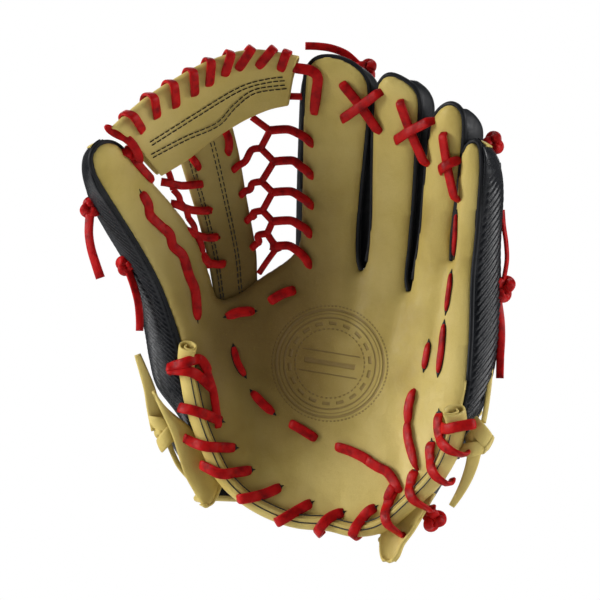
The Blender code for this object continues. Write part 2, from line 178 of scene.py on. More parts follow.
def to_outline(spots):
    """For each (x, z): its distance to the outline, the nearest place on it, and whether it's inside."""
    a = OUTLINE
    b = np.roll(OUTLINE, -1, axis=0)
    run = b - a
    away = spots[:, None] - a
    t = np.clip((away * run).sum(-1) / (run ** 2).sum(-1), 0, 1)
    nearest = a + t[..., None] * run
    gaps = np.linalg.norm(spots[:, None] - nearest, axis=-1)
    best = gaps.argmin(1)
    crosses = (a[:, 1] > spots[:, None, 1]) != (b[:, 1] > spots[:, None, 1])
    safe = np.where(b[:, 1] == a[:, 1], 1e-9, b[:, 1] - a[:, 1])
    at = a[:, 0] + (spots[:, None, 1] - a[:, 1]) / safe * run[:, 0]
    inside = (crosses & (spots[:, None, 0] < at)).sum(1) % 2 == 1
    rows = np.arange(len(spots))
    return gaps[rows, best], nearest[rows, best], inside


def off_line(line, x, z):
    """How far (x, z) is from a line of (x, z) points."""
    best = math.inf
    for (ax, az), (bx, bz) in zip(line, line[1:]):
        run = (bx - ax) ** 2 + (bz - az) ** 2
        t = min(max(((x - ax) * (bx - ax) + (z - az) * (bz - az)) / run, 0.0), 1.0)
        best = min(best, math.hypot(x - ax - t * (bx - ax), z - az - t * (bz - az)))
    return best


def runs(line):
    """How far along a line of (x, z) points each of them is."""
    found = [0.0]
    for (ax, az), (bx, bz) in zip(line, line[1:]):
        found.append(found[-1] + math.hypot(bx - ax, bz - az))
    return found


def flat_way(line, k):
    """The direction of a line of (x, z) points at its k-th point, and the way to its right."""
    ax, az = line[max(k - 1, 0)]
    bx, bz = line[min(k + 1, len(line) - 1)]
    run = math.hypot(bx - ax, bz - az) or 1.0
    return Vector(((bx - ax) / run, 0.0, (bz - az) / run)), Vector(((bz - az) / run, 0.0, -(bx - ax) / run))


THUMB_WAVE = [(-104, 197), (-99.5, 189), (-98.2, 182), (-91.5, 175.5), (-85.6, 169.5), (-83.6, 162),
              (-77.2, 155.5), (-73.4, 142.5), (-69.4, 132.5), (-67.3, 113)]
# Each crease's line, width and depth
CREASES = [
    (THUMB_WAVE, 4.0, 1.6),
    ([(38.6, 148), (37, 128), (33, 108)], 6.0, 1.8),
    ([(68.8, 134), (65, 116), (59, 98)], 6.0, 1.8),
    ([(94.6, 152), (92, 126), (87, 100)], 4.5, 1.8),
    ([(-60, 112), (-48, 88), (-36, 52), (-26, 20)], 9.0, 1.8),
    ([(-18, 30), (4, 6), (24, -4)], 8.0, 1.5),
    ([(-3, 150), (-16, 118), (-22, 84)], 9.0, 1.3),
    ([(62, 2), (66, 22), (64, 44)], 6.0, 1.3),
]


def hide_depth(x, z, gap):
    """The palm hide's depth: crowned inside its edges, creased and a little uneven."""
    t = min(gap / CROWN_REACH, 1.0)
    depth = EDGE_DEPTH - CROWN * math.sqrt(1.0 - (1.0 - t) ** 2)
    for line, width, deep in CREASES:
        depth += deep * math.exp(-(off_line(line, x, z) / width) ** 2)
    soft = noise.noise(Vector((x, z, 4.0)) / 26.0) + 0.4 * noise.noise(Vector((x, z, 9.0)) / 9.0)
    return depth + 0.8 * soft * t


def hide_depths(line):
    """The palm hide's depth at each point of a line of (x, z) points."""
    gaps = to_outline(np.array(line, float))[0]
    return [hide_depth(x, z, float(gap)) for (x, z), gap in zip(line, gaps)]


# --- meshes -----------------------------------------------------------------

def new_object(name, points, faces, material):
    """A smooth-shaded mesh object from points in millimetres."""
    data = bpy.data.meshes.new(name)
    data.from_pydata([[MM * v for v in point] for point in points], [], faces)
    data.polygons.foreach_set("use_smooth", [True] * len(data.polygons))
    made = bpy.data.objects.new(name, data)
    bpy.context.scene.collection.objects.link(made)
    data.materials.append(material)
    return made


def mend(piece, weld=0.0, sliver=0.0, outward=True):
    """Welds points and drops slivers within a distance in millimetres, and turns the faces outward."""
    work = bmesh.new()
    work.from_mesh(piece.data)
    if weld:
        bmesh.ops.remove_doubles(work, verts=work.verts, dist=weld * MM)
    if sliver:
        bmesh.ops.dissolve_degenerate(work, edges=work.edges, dist=sliver * MM)
    if outward:
        bmesh.ops.recalc_face_normals(work, faces=work.faces)
    work.to_mesh(piece.data)
    work.free()


def thicken(piece, thickness, offset=-1.0, subdivide=1, even=True):
    """Makes a sheet thick, smooths it and writes both into its mesh."""
    thick = piece.modifiers.new("thickness", "SOLIDIFY")
    thick.thickness = thickness * MM
    thick.offset = offset
    thick.use_even_offset = even
    if subdivide:
        smoothing = piece.modifiers.new("smooth", "SUBSURF")
        smoothing.levels = subdivide
        smoothing.render_levels = subdivide
    graph = bpy.context.evaluated_depsgraph_get()
    graph.update()
    data = bpy.data.meshes.new_from_object(piece.evaluated_get(graph))
    piece.modifiers.clear()
    piece.data = data


def side_of(name):
    """The body that a piece named for a finger or for the thumb rides on."""
    return "thumb_side" if name.startswith("thumb") else "finger_side"


def settle(piece, body, *replaced):
    """Puts a piece on its body, or over the fold, and hides the CAD parts it stands for."""
    if body == "fold":
        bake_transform(piece)
    else:
        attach(piece, body)
    if replaced:
        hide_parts(*replaced)
    return piece


def leather(name, grid, thickness, material, body, *replaced, offset=-1.0, subdivide=1):
    """A leather sheet through a grid of points, thickened and smoothed, on its body."""
    wide = len(grid[0])
    points = [point for row in grid for point in row]
    faces = [(r * wide + c, r * wide + c + 1, (r + 1) * wide + c + 1, (r + 1) * wide + c)
             for r in range(len(grid) - 1) for c in range(wide - 1)]
    made = new_object(name, points, faces, material)
    thicken(made, thickness, offset, subdivide)
    return settle(made, body, *replaced)


def sweep(path, ups, wide, thick, power=3.2, corners=16, taper=0.0, point=0.0, reach=6.0):
    """Points and faces of a flat lace along a path, its flat face square to ups.

    It narrows by taper over one part in reach at both ends, and by point towards its far end.
    """
    path = [Vector(point) for point in path]
    points, faces = [], []
    for k, here in enumerate(path):
        go = (path[min(k + 1, len(path) - 1)] - path[max(k - 1, 0)]).normalized()
        up = Vector(ups[k])
        up = (up - go * up.dot(go)).normalized()
        side = go.cross(up)
        share = min(k, len(path) - 1 - k) / max(len(path) - 1, 1)
        full = 1.0 - taper * (1.0 - min(share * reach, 1.0)) ** 2
        full *= 1.0 - point * (k / max(len(path) - 1, 1)) ** 1.2
        for c in range(corners):
            a = 2.0 * math.pi * c / corners
            ca, sa = math.cos(a), math.sin(a)
            u = math.copysign(abs(ca) ** (2.0 / power), ca) * 0.5 * wide * full
            v = math.copysign(abs(sa) ** (2.0 / power), sa) * 0.5 * thick
            points.append(here + side * u + up * v)
    for k in range(len(path) - 1):
        for c in range(corners):
            d = (c + 1) % corners
            faces.append((k * corners + c, (k + 1) * corners + c, (k + 1) * corners + d, k * corners + d))
    faces.append(tuple(range(corners)))
    last = (len(path) - 1) * corners
    faces.append(tuple(last + c for c in reversed(range(corners))))
    return points, faces


def laces(name, strips, material, body, *replaced, **shape):
    """One object from several strips, each (path, ups, wide, thick), on its body."""
    points, faces = [], []
    for strip in strips:
        more, sides = sweep(*strip, **shape)
        faces += [tuple(i + len(points) for i in side) for side in sides]
        points += more
    made = new_object(name, points, faces, material)
    mend(made)
    return settle(made, body, *replaced)


class Finish:
    """A Principled material with short calls for its nodes."""

    def __init__(self, name, colour, roughness, coat=0.0, sheen=0.0, gloss=0.5):
        self.material = bpy.data.materials.new(name)
        self.material.use_nodes = True
        self.tree = self.material.node_tree
        self.shader = self.tree.nodes["Principled BSDF"]
        values = {"Base Color": (*colour, 1.0), "Roughness": roughness, "Coat Weight": coat,
                  "Coat Roughness": 0.3, "Sheen Weight": sheen, "Specular IOR Level": gloss}
        for socket, value in values.items():
            self.shader.inputs[socket].default_value = value
        self.place = self.add("ShaderNodeTexCoord").outputs["Object"]

    def feed(self, socket, value):
        """Gives a socket its value, or links it to another node's socket."""
        if isinstance(value, bpy.types.NodeSocket):
            self.tree.links.new(value, socket)
        else:
            socket.default_value = value

    def add(self, kind, sockets=(), **settings):
        node = self.tree.nodes.new(kind)
        for key, value in settings.items():
            setattr(node, key, value)
        for key, value in dict(sockets).items():
            self.feed(node.inputs[key], value)
        return node

    def mapped(self, **change):
        return self.add("ShaderNodeMapping", {"Vector": self.place, **change}).outputs["Vector"]

    def noise(self, scale, detail=4.0, stretch=None):
        place = self.mapped(Scale=stretch) if stretch else self.place
        sockets = {"Scale": scale, "Detail": detail, "Vector": place}
        return self.add("ShaderNodeTexNoise", sockets).outputs["Fac"]

    def cells(self, scale):
        sockets = {"Scale": scale, "Vector": self.place}
        return self.add("ShaderNodeTexVoronoi", sockets, feature="DISTANCE_TO_EDGE").outputs["Distance"]

    def ribs(self, period, rotation):
        turned = self.mapped(Rotation=[math.radians(angle) for angle in rotation])
        sockets = {"Scale": 2.0 * math.pi / (20.0 * period), "Vector": turned}
        return self.add("ShaderNodeTexWave", sockets, bands_direction="X").outputs["Fac"]

    def math(self, operation, a, b=0.5):
        return self.add("ShaderNodeMath", {0: a, 1: b}, operation=operation).outputs["Value"]

    def length(self, a, b):
        squares = self.math("ADD", self.math("POWER", a, 2.0), self.math("POWER", b, 2.0))
        return self.math("SQRT", squares)

    def span(self, value, low, high, to_low, to_high):
        sockets = {"Value": value, "From Min": low, "From Max": high, "To Min": to_low, "To Max": to_high}
        node = self.add("ShaderNodeMapRange", sockets, clamp=True, interpolation_type="SMOOTHSTEP")
        return node.outputs["Result"]

    def ramp(self, value, stops):
        node = self.add("ShaderNodeValToRGB", {"Fac": value})
        points = node.color_ramp.elements
        while len(points) < len(stops):
            points.new(0.5)
        for point, (at, colour) in zip(points, stops):
            point.position = at
            point.color = (*colour, 1.0)
        return node.outputs["Color"]

    def mix(self, share, a, b):
        a, b = ((*tone, 1.0) if isinstance(tone, tuple) else tone for tone in (a, b))
        return self.add("ShaderNodeMix", {0: share, 6: a, 7: b}, data_type="RGBA").outputs[2]

    def axes(self):
        return self.add("ShaderNodeSeparateXYZ", {0: self.place}).outputs

    def bump(self, height, depth, before=None):
        sockets = {"Strength": 1.0, "Distance": depth, "Height": height}
        if before:
            sockets["Normal"] = before
        raised = self.add("ShaderNodeBump", sockets).outputs["Normal"]
        self.feed(self.shader.inputs["Normal"], raised)
        return raised

    def colour(self, value):
        self.feed(self.shader.inputs["Base Color"], value)

    def rough(self, value):
        self.feed(self.shader.inputs["Roughness"], value)


CAMEL_LIGHT = (0.76, 0.60, 0.20)
CAMEL_MID = (0.66, 0.505, 0.130)
CAMEL_DARK = (0.49, 0.345, 0.075)
# The pocket's dark tone and where it lies: painted shade of the pocket's hollow, with some oil darkening
POCKET_SHADE_AND_OIL = (0.135, 0.074, 0.012)
POCKET_AT = (-24.0, 124.0)
POCKET_HALF = (78.0, 118.0)
STAMP_AT = (19.5, 85.2)
STAMP_TONE = (0.17, 0.105, 0.035)
# Each ring's radius, half width, dashes (0 for a whole ring) and strength
STAMP_RINGS = [(0.0378, 0.0006, 96, 1.0), (0.0352, 0.0011, 0, 1.0), (0.0328, 0.0005, 0, 0.7),
               (0.0300, 0.0007, 0, 1.0), (0.0228, 0.0006, 48, 1.0), (0.0264, 0.0013, 18, 1.0)]
# Each bar's height above the middle, half width and reach
STAMP_BARS = [(0.0072, 0.0005, 0.0205), (-0.0072, 0.0005, 0.0205), (0.0, 0.0022, 0.017)]
STAMP_SLOPE = -0.16


def camel_leather(name, pocket=True):
    """Smooth oiled cowhide: mottled, finely grained, and darker over the pocket's hollow, which is painted
    shade with some oil darkening.
    """
    m = Finish(name, CAMEL_MID, 0.5, coat=0.03, sheen=0.03, gloss=0.3)
    mottle = m.noise(16.0, 5.0)
    tone = m.ramp(mottle, [(0.3, CAMEL_DARK), (0.47, CAMEL_MID), (0.7, CAMEL_LIGHT)])
    streak = m.noise(60.0, 6.0, (1.0, 1.0, 0.35))
    tone = m.mix(m.span(streak, 0.35, 0.7, 0.0, 0.35), tone, CAMEL_LIGHT)
    # Painted shade of the pocket's hollow, with some oil darkening: the hide darkens towards the pocket's
    # dark tone near its middle
    if pocket:
        x, _, z = m.axes()
        dx, dz = (m.math("MULTIPLY", m.math("SUBTRACT", value, at * MM), 1.0 / (half * MM))
                  for value, at, half in zip((x, z), POCKET_AT, POCKET_HALF))
        uneven = m.math("ADD", m.length(dx, dz), m.math("MULTIPLY", m.noise(22.0), 0.5))
        tone = m.mix(m.span(uneven, 0.45, 1.75, 0.93, 0.0), tone, POCKET_SHADE_AND_OIL)
    grain = m.cells(1150.0)
    pores = m.span(grain, 0.0, 0.12, 0.0, 1.0)
    m.colour(m.mix(m.span(grain, 0.0, 0.07, 0.22, 0.0), tone, CAMEL_DARK))
    m.rough(m.span(m.noise(240.0), 0.3, 0.7, 0.42, 0.6))
    fine = m.bump(pores, 0.00007)
    soft = m.bump(m.noise(330.0, 5.0), 0.00022, fine)
    m.bump(m.noise(70.0, 5.0, (1.0, 1.0, 0.5)), 0.0006, soft)
    return m


def palm_leather():
    """The camel hide with a plain pressed roundel of rings, dashes and bars in the palm."""
    m = camel_leather("palm_hide_leather")
    x, _, z = m.axes()
    dx = m.math("SUBTRACT", x, STAMP_AT[0] * MM)
    dz = m.math("SUBTRACT", z, STAMP_AT[1] * MM)
    r = m.length(dx, dz)
    turn = m.math("ARCTAN2", dz, dx)

    def line(off, half):
        return m.span(m.math("ABSOLUTE", off), 0.4 * half, half, 1.0, 0.0)

    marks = 0.0
    for radius, half, dashes, strength in STAMP_RINGS:
        ring = m.math("MULTIPLY", line(m.math("SUBTRACT", r, radius), half), strength)
        if dashes:
            beat = m.math("SINE", m.math("MULTIPLY", turn, float(dashes)))
            ring = m.math("MULTIPLY", ring, m.span(beat, -0.25, 0.1, 0.0, 1.0))
        marks = m.math("MAXIMUM", marks, ring)
    for height, half, reach in STAMP_BARS:
        off = m.math("SUBTRACT", m.math("SUBTRACT", dz, height), m.math("MULTIPLY", dx, STAMP_SLOPE))
        bar = m.math("MULTIPLY", line(off, half), m.span(r, reach - 0.0006, reach, 1.0, 0.0))
        marks = m.math("MAXIMUM", marks, bar)
    hide = m.shader.inputs["Base Color"].links[0].from_socket
    m.colour(m.mix(m.math("MULTIPLY", marks, 0.55), hide, STAMP_TONE))
    before = m.shader.inputs["Normal"].links[0].from_socket
    m.bump(m.math("SUBTRACT", 1.0, marks), 0.0006, before)
    return m.material


def black_leather(name, rough_low, rough_high):
    """Black leather, finely grained."""
    m = Finish(name, (0.008, 0.009, 0.012), rough_low, gloss=0.24)
    m.colour(m.ramp(m.noise(45.0, 5.0), [(0.35, (0.004, 0.005, 0.007)), (0.62, (0.009, 0.010, 0.013)),
                                         (0.85, (0.020, 0.021, 0.024))]))
    m.rough(m.span(m.noise(300.0), 0.3, 0.7, rough_low, rough_high))
    fine = m.bump(m.cells(1300.0), 0.00008)
    m.bump(m.noise(180.0, 5.0), 0.0003, fine)
    return m.material


def red_lace():
    """Red rawhide: waxed faces, fibrous and mottled darker and lighter."""
    m = Finish("red_rawhide", (0.46, 0.006, 0.007), 0.5, gloss=0.12)
    m.colour(m.ramp(m.noise(190.0, 6.0), [(0.28, (0.20, 0.003, 0.004)), (0.5, (0.44, 0.005, 0.006)),
                                          (0.78, (0.56, 0.010, 0.009))]))
    m.rough(m.span(m.noise(500.0), 0.3, 0.7, 0.32, 0.52))
    fibre = m.bump(m.noise(1500.0), 0.00012)
    m.bump(m.noise(260.0, 5.0), 0.00035, fibre)
    return m.material


def flecked(name, middle, roughness, mottle, dark, light, sheen=0.0):
    """A finish whose colour wanders between two tones, by a noise of (scale, detail)."""
    m = Finish(name, middle, roughness, sheen=sheen)
    m.colour(m.ramp(m.noise(*mottle), [(0.3, dark), (0.7, light)]))
    return m


def thread():
    """Waxed black thread with a twist."""
    m = flecked("black_thread", (0.012, 0.010, 0.008), 0.55, (900.0, 4.0),
                (0.006, 0.005, 0.004), (0.03, 0.025, 0.018))
    m.bump(m.ribs(0.0007, (20, 30, 40)), 0.00008)
    return m.material


def felt():
    """Pressed wool felt, fuzzy and flecked."""
    m = flecked("pressed_felt", (0.55, 0.53, 0.47), 0.92, (420.0, 6.0),
                (0.38, 0.36, 0.31), (0.64, 0.62, 0.56), sheen=0.5)
    m.bump(m.noise(1600.0, 6.0), 0.0004)
    return m.material


def lining():
    """Soft dark lining leather."""
    m = flecked("lining_leather_soft", (0.06, 0.05, 0.042), 0.7, (90.0, 5.0),
                (0.035, 0.03, 0.026), (0.085, 0.07, 0.055), sheen=0.15)
    m.bump(m.cells(900.0), 0.00015)
    return m.material


def board():
    """Grey stiffening board."""
    m = flecked("stay_board", (0.2, 0.2, 0.19), 0.7, (300.0, 5.0), (0.15, 0.15, 0.14), (0.26, 0.26, 0.24))
    m.bump(m.noise(700.0, 3.0), 0.0002)
    return m.material


PALM = palm_leather()
CAMEL = camel_leather("camel_leather_plain").material
# The camel hide without the painted pocket shade
PALE = camel_leather("camel_leather_without_pocket_shade", pocket=False).material
BLACK = black_leather("black_back_leather", 0.4, 0.55)
BAND = black_leather("black_band_leather", 0.22, 0.34)
# Black welt leather, also used for the painted shade in the lace cuts
WELT_AND_SLIT_SHADE = black_leather("black_welt_leather_and_slit_shade", 0.45, 0.6)
RED = red_lace()
THREAD = thread()
FELT = felt()
LINING = lining()
BOARD = board()


# --- the palm hide ------------------------------------------------------------

def hide_mesh():
    """Spots (x, z) and faces of the palm hide: a grid inside its outline, joined to the outline."""
    low, high = OUTLINE.min(0), OUTLINE.max(0)
    wide, tall = (int(n) + 2 for n in (high - low) / GRID_STEP)
    xs = low[0] + GRID_STEP * np.arange(wide)
    zs = low[1] + GRID_STEP * np.arange(tall)
    spots = np.array([(x, z) for z in zs for x in xs])
    gaps, nearest, inside = to_outline(spots)
    keep = inside & (gaps > 0.45 * GRID_STEP)
    faces = []
    for r in range(tall - 1):
        for c in range(wide - 1):
            at = r * wide + c
            ring = (at, at + 1, at + wide + 1, at + wide)
            if all(keep[i] for i in ring):
                faces.append(ring)
    used = sorted({i for face in faces for i in face})
    where = {i: k for k, i in enumerate(used)}
    flat = [tuple(spots[i]) for i in used]
    faces = [tuple(where[i] for i in face) for face in faces]
    sides = dict.fromkeys((a, b) for face in faces for a, b in zip(face, face[1:] + face[:1]))
    outer = {}
    for a, b in [(a, b) for a, b in sides if (b, a) not in sides]:
        for i in (a, b):
            if i not in outer:
                outer[i] = len(flat)
                flat.append(tuple(nearest[used[i]]))
        faces.append((b, a, outer[a], outer[b]))
    return flat, faces


def build_palm():
    """One hide for the palm, four finger fronts and the thumb, stitched to its outline."""
    flat, faces = hide_mesh()
    points = [layer(x, z, depth) for (x, z), depth in zip(flat, hide_depths(flat))]
    hide = new_object("palm_hide", points, faces, PALM)
    mend(hide, weld=0.05, sliver=0.02, outward=False)
    thicken(hide, HIDE, even=False)
    settle(hide, "fold", "palm_leather", "thumb_palm_leather", "thumb_front",
           "index_front", "middle_front", "ring_front", "pinky_front")


# --- backs ----------------------------------------------------------------------

FINGERS = {
    "index": (((0.0, 149), (37.4, 147)), ((0.7, 200), (38.9, 200)), ((1.8, 240), (42.2, 240)),
              ((2.8, 262), (42.8, 261)), ((5.5, 274), (38.5, 272)), ((12.5, 281), (30.0, 279.5))),
    "middle": (((42.2, 147), (68.2, 144)), ((45.6, 196), (71.8, 192)), ((46.2, 236), (74.2, 232)),
               ((47.8, 256), (74.8, 251)), ((51.8, 265), (71.5, 262)), ((56.5, 270), (66.5, 268))),
    "ring": (((72.4, 144), (93.6, 142)), ((78.0, 190), (97.8, 188)), ((80.6, 222), (101.4, 218)),
             ((82.6, 237), (102.0, 234)), ((86.5, 245.5), (99.8, 243)), ((91.0, 250), (96.5, 249))),
    "pinky": (((95.0, 142), (108.0, 140)), ((99.0, 186), (111.9, 184)), ((100.4, 206), (112.8, 204)),
              ((102.0, 216), (112.4, 214)), ((104.4, 222.5), (110.9, 222)), ((106.4, 226), (109.4, 226))),
}
# How far each finger's back bulges to the left and the right
STALL_BULGES = {"index": (15.0, 8.0), "middle": (8.0, 4.0), "ring": (9.0, 4.0), "pinky": (8.0, -7.0)}
THUMB_ROWS = (((-78.5, 104), (-54.0, 121)), ((-91, 138), (-62.5, 142)), ((-104, 163), (-70, 164)),
              ((-120, 190), (-84, 185)), ((-129, 206), (-98.5, 203)), ((-130.8, 216), (-107, 216)),
              ((-127.5, 223), (-116, 224.5)))


def stall_grid(rows, reach=17.0, power=0.5, least=0.03, bulges=(0.0, 0.0)):
    """Rows of points round the hollow back of a finger, closed over its tip."""
    turns = 20
    grid = []
    top = max(rows[-1][0][1], rows[-1][1][1])
    for xl, zl, xr, zr in smooth([(*left, *right) for left, right in rows], 5):
        near = max(0.0, 1.0 - (top + 1.0 - 0.5 * (zl + zr)) / reach)
        deep = STALL_DEPTH * max(1.0 - near ** 2.2, least) ** power
        row = []
        for k in range(turns + 1):
            a = math.pi * k / turns
            share = 0.5 - 0.5 * math.cos(a)
            x, z = xl + (xr - xl) * share, zl + (zr - zl) * share
            point = layer(x, z, SEAM - 1.0 + deep * math.sin(a) ** 0.62)
            lean = math.sin(a) ** 0.7
            point.x += lean * (bulges[1] * share ** 2 - bulges[0] * (1.0 - share) ** 2)
            row.append(point)
        grid.append(row)
    cap = grid[-1]
    middle = sum(cap, Vector()) / len(cap)
    grid.append([middle.lerp(point, 0.35) for point in cap])
    return grid


def build_backs():
    """The black hollow backs of the fingers and the thumb, each with a ridge seam."""
    backs = [(finger, rows, stall_grid(rows, bulges=STALL_BULGES[finger]))
             for finger, rows in FINGERS.items()]
    backs.append(("thumb", THUMB_ROWS, stall_grid(THUMB_ROWS, 40.0, 1.1, 0.16)))
    for finger, rows, grid in backs:
        body = side_of(finger)
        leather(finger + "_back_leather", grid, SHELL, BLACK, body, finger + "_back", offset=1.0)
        ridge(finger + "_ridge_welt", rows, body)


def ridge(name, rows, body):
    """The rolled welt that runs up the middle of a finger's back."""
    path, ups = [], []
    for xl, zl, xr, zr in smooth([(*left, *right) for left, right in rows[:-2]], 5):
        x, z = 0.5 * (xl + xr), 0.5 * (zl + zr)
        path.append(layer(x, z, SEAM - 1.0 + STALL_DEPTH + 0.6))
        ups.append(inward(x))
    laces(name, [(path, ups, *RIDGE_SIZE)], WELT_AND_SLIT_SHADE, body, power=2.0, taper=0.6)


def curl_grid(rows, set_back, left_bulge, right_bulge):
    """Rows of points from the thumb-side seam round the back of the hand to the little finger's seam."""
    columns = 64
    grid = []
    for level in smooth([sum(row, ()) for row in rows], 5):
        spots = [level[k:k + 2] for k in range(0, len(level), 2)]
        row = []
        for k in range(columns + 1):
            t = k / columns
            edge = 1.0 - abs(2.0 * t - 1.0)
            x, z = along(spots, 0.5 - 0.5 * math.cos(math.pi * t))
            full = math.sin(0.5 * math.pi * min(edge / 0.42, 1.0)) ** 0.9
            point = layer(x, z, SEAM - 0.6 + set_back + glove_depth(z) * full)
            out = -left_bulge if t < 0.5 else right_bulge
            point.x += out * math.sin(math.pi * full)
            row.append(point)
        grid.append(row)
    return grid


HAND_BACK_ROWS = [
    ((-64, 46), (-34, 60), (0, 66), (54, 67), (98.5, 52)),
    ((-71, 82), (-36, 92), (0, 96), (54, 98), (103.2, 100)),
    ((-79, 116), (-40, 127), (0, 146), (54, 149), (105.6, 144)),
]
STRAP_ROWS = [
    ((-56, -4.5), (-34, -6.0), (-6, -15.5), (24, -24), (47, -29.5)),
    ((-62, 14), (-32, 5), (0, 1), (34, -5), (64, -12)),
    ((-70, 30), (-34, 26), (0, 24), (42, 23), (82, 22)),
    ((-72.5, 38), (-36, 37), (0, 37), (46, 37), (90, 37)),
]


def outward(row):
    """The way out from the middle of a row of points, for each of them."""
    middle = sum(row, Vector()) / len(row)
    return [(point - middle).normalized() for point in row]


def hem(name, row, radius):
    """A rolled edge along a row of points."""
    laces(name, [(row, outward(row), 2 * radius, 2 * radius)], CAMEL, "fold", power=2.0)


def seam_row(name, row):
    """A row of pale stitches across a back panel."""
    ups = outward(row)
    path = [point + up * 0.25 for point, up in zip(row, ups)]
    laces(name, stitches(path, ups), PALE, "fold", power=2.0, corners=6)


def build_hand_back():
    """The back of the hand and the wrist strap, each one piece over the fold."""
    grid = curl_grid(HAND_BACK_ROWS, 2.0, 7.0, 0.5)
    leather("hand_back_leather", grid, SHELL, BLACK, "fold", "hand_back", "thumb_hand_back", offset=1.0)
    hem("hand_back_hem", grid[0], 1.9)
    seam_row("hand_back_stitching", grid[2])
    strap = curl_grid(STRAP_ROWS, 8.0, 3.0, 1.0)
    seam_row("wrist_strap_stitching", strap[-3])
    leather("wrist_strap_leather", strap, SHELL, BLACK, "fold", "wrist_strap", "thumb_strap", offset=1.0)
    hem("wrist_strap_top_hem", strap[-1], 1.9)
    hem("wrist_strap_bottom_hem", strap[0], 2.3)


BANDS = {
    # name: stations from the tip down, each (seam x, z, how far it stands out), and its side
    "pinky_side_band": ([(109, 229, 2), (111.5, 225.5, 7), (113.2, 219, 10.5), (113.4, 211, 12.8),
                         (113, 201, 14.5), (110.4, 176, 16.2), (108.6, 159, 17.5), (107.2, 140, 19.2),
                         (106.6, 120, 19.6), (106, 101, 19), (104.6, 81, 17.4), (101.6, 62, 15.2),
                         (99, 50, 13), (96.5, 36, 10.5), (93.5, 24, 6)], 1.0),
    "thumb_side_band": ([(-124, 228.6, 2), (-128, 225.5, 4.5), (-130, 219, 6.8), (-130.4, 210, 7.4),
                         (-127.4, 200, 8.8), (-121.4, 190, 11.4), (-110, 172, 13.6), (-97.4, 150.5, 14.4),
                         (-87.4, 129, 17), (-80, 106, 19.6), (-75, 88, 21.8), (-71.5, 70, 20.6),
                         (-69, 54, 11.5), (-66, 41, 5)], -1.0),
}
BAND_SECTION = [(0.0, -1.6), (0.08, -2.4), (0.22, -1.4), (0.42, 1.6), (0.62, 5.4), (0.80, 10.0), (0.93, 15.5),
                (1.0, 21.5), (0.98, 27.5), (0.90, 32.0)]
RIB_PITCH = {"pinky_side_band": 5.2, "thumb_side_band": 3.6}
RIB_TOP = {"pinky_side_band": 206.0, "thumb_side_band": 198.0}
RIB_RISE = 0.95
RIB_START = 3.6
RIB_FADE = 1.6
RIB_TALL = {"pinky_side_band": 0.9, "thumb_side_band": 1.25}


def band_row(name, x, z, wide, hand, section):
    """The points round a band at one station, raised into ribs along its own face."""
    start = layer(x, z, SEAM - 1.0)
    tall = min(1.0, 0.35 + wide / 16.0)
    spots = [Vector((out * wide, back * tall)) for out, back in section]
    run, row = 0.0, []
    for k, spot in enumerate(spots):
        if k:
            run += (spot - spots[k - 1]).length
        way = spots[min(k + 1, len(spots) - 1)] - spots[max(k - 1, 0)]
        face = Vector((way.y, -way.x)).normalized()
        fade = min(max((run - RIB_START) / RIB_FADE, 0.0), 1.0)
        fade *= min(max((RIB_TOP[name] - z) / 14.0, 0.0), 1.0)
        wave = math.sin(2.0 * math.pi * (z - RIB_RISE * run) / RIB_PITCH[name])
        rib = RIB_TALL[name] * fade * (1.0 - (0.5 - 0.5 * wave) ** 1.6)
        row.append(start + Vector((hand * (spot.x + face.x * rib), spot.y + face.y * rib, 0.0)))
    return row if hand > 0 else row[::-1]


def build_bands():
    """The ribbed black panels along the thumb's and the little finger's outer sides."""
    section = smooth(BAND_SECTION, 7)
    for name, (stations, hand) in BANDS.items():
        body = side_of(name)
        line = smooth(stations, 36)
        grid = [band_row(name, x, z, wide, hand, section) for x, z, wide in line][::-1]
        leather(name, grid, 1.6, BAND, body, subdivide=0)
        piping = [layer(x - 0.2 * hand, z, SEAM - 2.4) for x, z, _ in line]
        ups = [Vector((0.3 * hand, -1.0, 0.0))] * len(piping)
        laces(name + "_piping", [(piping, ups, *PIPING_SIZE)], WELT_AND_SLIT_SHADE, body, power=2.0)
        third = len(section) // 3
        cap = [row[third:-4] if hand > 0 else row[4:-third] for row in grid[-42:-12]]
        cap = [[point + Vector((hand * 0.9, -0.9, 0.0)) for point in row] for row in cap]
        leather(name + "_tip_patch", cap, 1.2, CAMEL, body, subdivide=0)


def build_welts():
    """The black welt in the seam between the palm hide and the backs, in runs along the outline."""
    edges = {
        "thumb": THUMB_OUTER + THUMB_TIP + [(-104.5, 215.5)],
        "index": INDEX_EDGE + GAP_ONE,
        "middle": MIDDLE_EDGE + GAP_TWO,
        "ring": RING_EDGE + GAP_THREE,
        "pinky": PINKY_EDGE,
    }
    for name, spots in edges.items():
        line = smooth(spots, 5)
        ups = [-flat_way(line, k)[1] for k in range(len(line))]
        path = [layer(x - 0.1 * up.x, z - 0.1 * up.z, SEAM - 1.9) for (x, z), up in zip(line, ups)]
        laces(name + "_seam_welt", [(path, ups, *WELT_SIZE)], WELT_AND_SLIT_SHADE, side_of(name), power=2.0)


# --- the web ----------------------------------------------------------------------

BAR_LOW = [(-91, 206.5), (-74, 217), (-58, 229.5), (-38, 242), (-21, 249.5), (-7.5, 252.5)]
BAR_MID = [(-105, 223), (-87, 240), (-68, 254), (-47, 265), (-27, 270.5), (-4.8, 271)]
BAR_TOP = [(-120, 236.5), (-100, 255), (-78, 270), (-56, 281.5), (-30, 288), (-0.5, 284)]
# The bar's section: shares up its front and back, and their depths
BAR_SECTION = [(0.0, -2.4), (0.04, -3.5), (0.16, -4.2), (0.34, -4.5), (0.55, -4.5), (0.76, -4.8),
               (0.88, -4.9), (0.965, -3.7), (1.012, -1.3), (1.022, 1.4), (0.99, 4.0), (0.93, 5.2),
               (0.8, 5.2), (0.5, 4.4), (0.2, 3.8), (0.03, 3.2)]


